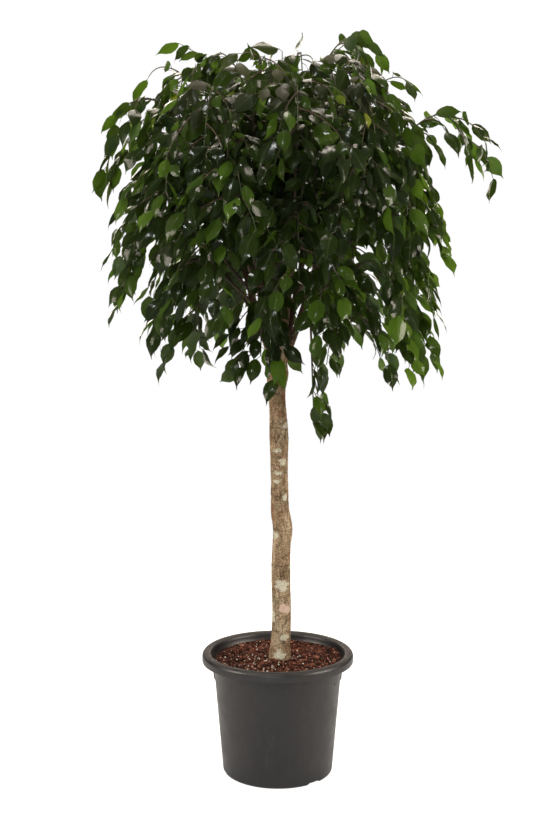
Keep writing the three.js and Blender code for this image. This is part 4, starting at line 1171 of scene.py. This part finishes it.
def leaves_along(handles, seeds, bare_share):
    """The seed, curve, place and rank of every leaf on some curves: tip first, one for each LEAF_SPACING."""
    lengths = by_length(handles, np.zeros((len(handles), 1)))[1]
    found = []
    for curve, seed, length in zip(handles, seeds, lengths):
        k = np.arange(int((length - LEAFLESS_ROOT) // LEAF_SPACING) + 1)
        share = LEAF_LAST - k * LEAF_SPACING / length
        k, share = k[share > bare_share], share[share > bare_share]
        at = by_length(curve[None], share[None])[0][0]
        found.append((np.full(len(k), seed), np.repeat(curve[None], len(k), 0), at, k))
    return [np.concatenate(parts) for parts in zip(*found)]


def young_leaves(handles, seeds):
    """The same four values for one small leaf at the very tip of some of the twigs high in the head."""
    high = (handles[:, -1, 2] > YOUNG_ABOVE) & (leaf_draw("young", seeds) < YOUNG_SHARE)
    return seeds[high], handles[high], np.full(high.sum(), LEAF_LAST), np.full(high.sum(), -1)


def inside_box(tips):
    """Whether each leaf's tip keeps within the box of the solids, with a little slack."""
    low, high = (np.array(corner) / MM for corner in CAD_BOX)
    return np.all((tips > low - BOX_SLACK / MM) & (tips < high + BOX_SLACK / MM), -1)


def leafy(wood, sets, is_sparse=False):
    """Wood with its stalks, and the blades with their attributes, from the sets of leaves of one piece."""
    planned = [leaf_plans(*leaves) for leaves in sets]
    base, stalk, axis, normal, length = (np.concatenate(parts) for parts in zip(*planned))
    seeds, k = (np.concatenate([leaves[i] for leaves in sets]) for i in (0, 3))
    roll = (LEAF_ROLL * (2 * leaf_draw("roll", seeds, k) - 1) * (k > 0))[:, None]
    normal = normal * np.cos(roll) + np.cross(axis, normal) * np.sin(roll)
    high_up = smooth_step(base[:, 2], *OPEN_ABOVE)
    size = between(LEAF_SIZES, leaf_draw("size", seeds, k)) * between((1.0, TOP_LEAF_SIZE), high_up)
    length = length * np.select([k > 0, k < 0], [size, YOUNG_SIZE], 1.0)
    stays = inside_box(base + stalk * STALK_LENGTH + axis * length[:, None])
    stays &= (k <= 0) | (leaf_draw("open", seeds, k) > OPEN_SHARE * high_up)
    if is_sparse:
        stays &= (k == 0) | (leaf_draw("sparse", seeds, k) < SPARSE_SHARE * (k < SPARSE_LEAVES))
    kept = (values[stays] for values in (seeds, k, base, stalk, axis, normal, length))
    seeds, k, base, stalk, axis, normal, length = kept
    # Painted light: leaves round these places at the sides of the head get a lighter tone, standing in for
    # the light that falls on those sides.
    painted_light = sum(
        more * np.exp(-np.sum((base - place) ** 2, -1) / (2 * reach**2))
        for *place, reach, more in PAINTED_LIGHT_SPOTS
    )
    tone = np.clip(between(TONE_SPAN, leaf_draw("tone", seeds, k) ** TONE_POWER) + painted_light, 0, FRESHEST)
    tone = np.where(k < 0, between(YOUNG_TONES, leaf_draw("tone", seeds)), tone)
    # Painted sheen: old leaves high up that face the top light are marked to be painted olive-grey and made
    # duller.
    crest = smooth_step(normal[:, 2], *DULL_SHEEN_FACING) * smooth_step(base[:, 2], *DULL_SHEEN_ABOVE)
    drawn_dull_sheen = between(DULL_SHEEN_AMOUNTS, smooth_step(leaf_draw("dull_and_painted_sheen", seeds, k), *DULL_SHEEN_DRAWN))
    dull_and_painted_sheen = drawn_dull_sheen * crest * (tone < OLD_TONE)
    neck = base + stalk * STALK_LENGTH
    bend = [leaf_draw("bend", seeds, 100 * n + k) for n in range(len(LEAF_BENDS))]
    width = between(LEAF_WIDTHS, np.where(k == 0, FIRST_LEAF_WIDTH, leaf_draw("width", seeds, k)))
    blades = leaf_blades(neck, axis, normal, length, width, leaf_draw("wave", seeds, k), bend)
    stalk_path = np.stack([base, base + stalk * STALK_BEND * STALK_LENGTH, neck + axis], 1)
    stalks = tubes(stalk_path, np.full((len(base), 3), STALK_RADIUS), 3)
    return [*wood, stalks], *blades, tone, dull_and_painted_sheen


def twig_tubes(handles):
    """Thin tubes along twigs of three handles."""
    return tapering(handles, TWIG_THICKNESS, TWIG_STEPS, TWIG_TUBE_SIDES, even=False)


def leafy_shoot(index):
    """One shoot: its stem and twigs, and all of their leaves."""
    stem, own_twigs, seed = stems[index:index + 1], twigs[index], 100 * ids[index]
    twig_seeds = seed + 1 + np.arange(TWIGS)
    sets = [
        leaves_along(stem, [seed], BARE_SHARE_OF_STEM),
        leaves_along(own_twigs, twig_seeds, 0.0),
        young_leaves(own_twigs, twig_seeds),
    ]
    wood = [tapering(stem, STEM_THICKNESS, STEM_STEPS, STEM_SIDES), twig_tubes(own_twigs)]
    return leafy(wood, sets, is_sparse=plans[index]["tier"] == SPARSE_TIER)


def add_leafy_piece(name, made, nodes=()):
    """A piece of wood and leaves, with the leaf finish on its blades and the twig finish on its wood."""
    wood, blades, u, share, tone, dull_and_painted_sheen = made
    count = len(blades)
    blade_blocks = [many(shape, BLADE_POINTS, count) for shape in (BLADE_QUADS, BLADE_FANS)]
    points, blocks = join_blocks([(blades.reshape(-1, 3), blade_blocks), *(part[:2] for part in wood)])
    wood_shares = np.concatenate([part[2] for part in wood])
    bare = 0 * wood_shares
    lower = [np.tile(np.arange(len(shape)) >= len(shape) // 2, count) for shape in (BLADE_QUADS, BLADE_FANS)]
    wood_faces = sum(len(block) for block in blocks[2:])
    piece = add_piece(
        name, MM * points, blocks, leaf_finish, nodes,
        attributes={
            "along": np.concatenate([np.tile(u, count), wood_shares]),
            "across": np.concatenate([np.tile(share, count), bare]),
            "tone": np.concatenate([np.repeat(tone, BLADE_POINTS), bare]),
            "dull_and_painted_sheen": np.concatenate([np.repeat(dull_and_painted_sheen, BLADE_POINTS), bare]),
            "underside": np.concatenate([*lower, np.zeros(wood_faces)]),
        },
        sharp_deg=60,
    )
    piece.data.materials.append(twig_finish.material)
    slots = np.zeros(len(piece.data.polygons), np.int32)
    slots[-wood_faces:] = 1
    piece.data.polygons.foreach_set("material_index", slots)
    return np.array([count, triangles_in(piece)])


totals = np.zeros(2, int)
for index, number in enumerate(ids):
    name = f"leafy_shoot_{number:02d}"
    totals += add_leafy_piece(f"{name}_full", leafy_shoot(index), [name])
print("leaves:", totals[0], "triangles:", totals[1])

# %% [markdown]
# From above one would look down between the long shoots into an empty head. Real limbs also carry short
# leafy twigs there. They stand on the upper part of the leader and of each limb, and turn by the golden
# angle from one to the next, so that no two of them point the same way. Those of the leader are longer
# and steeper, so that the crest is full from every side.

# %% inner twigs
INNER_TWIGS, INNER_ON_LEADER, INNER_ROOTS, INNER_BARE = 96, 48, (0.6, 0.99), 0.15
INNER_LENGTH, INNER_OUT, INNER_RISE = (160.0, 250.0), (0.2, 0.8), (0.5, 0.95)
GOLDEN_DEGREES, INNER_HIGHER, INNER_STEEPER = 137.5, 2.0, 0.75
INNER_MIDDLE_OUT, INNER_MIDDLE_UP, INNER_END_UP = 0.25, 0.6, 0.8


def inner_twig_handles():
    """Three handles for each short twig: it rises from its limb and leans out as it goes."""
    i = np.arange(INNER_TWIGS)
    on_leader = i < INNER_ON_LEADER
    limb = limbs[np.where(on_leader, 0, 1 + i % LIMB_COUNT)]
    root = bezier(limb, by_length(limb, between(INNER_ROOTS, draw(i, 910))[:, None])[0])[:, 0]
    length = between(INNER_LENGTH, draw(i, 911)) * np.where(on_leader, INNER_HIGHER, 1.0)
    spread = between(INNER_OUT, draw(i, 912)) * np.where(on_leader, INNER_STEEPER, 1.0)
    out = (length * spread)[:, None] * bearing(GOLDEN_DEGREES * i)
    rise = (length * between(INNER_RISE, draw(i, 913)))[:, None] * UP
    middle = root + INNER_MIDDLE_OUT * out + INNER_MIDDLE_UP * rise
    return np.stack([root, middle, root + out + INNER_END_UP * rise], 1)


inner_twigs = inner_twig_handles()
inner_seeds = 100 * (len(plans) + 1 + np.arange(INNER_TWIGS))
inner_made = leafy([twig_tubes(inner_twigs)], [leaves_along(inner_twigs, inner_seeds, INNER_BARE)])
inner_totals = add_leafy_piece("inner_leafy_twigs", inner_made)
print("inner leaves:", inner_totals[0], "triangles:", inner_totals[1])
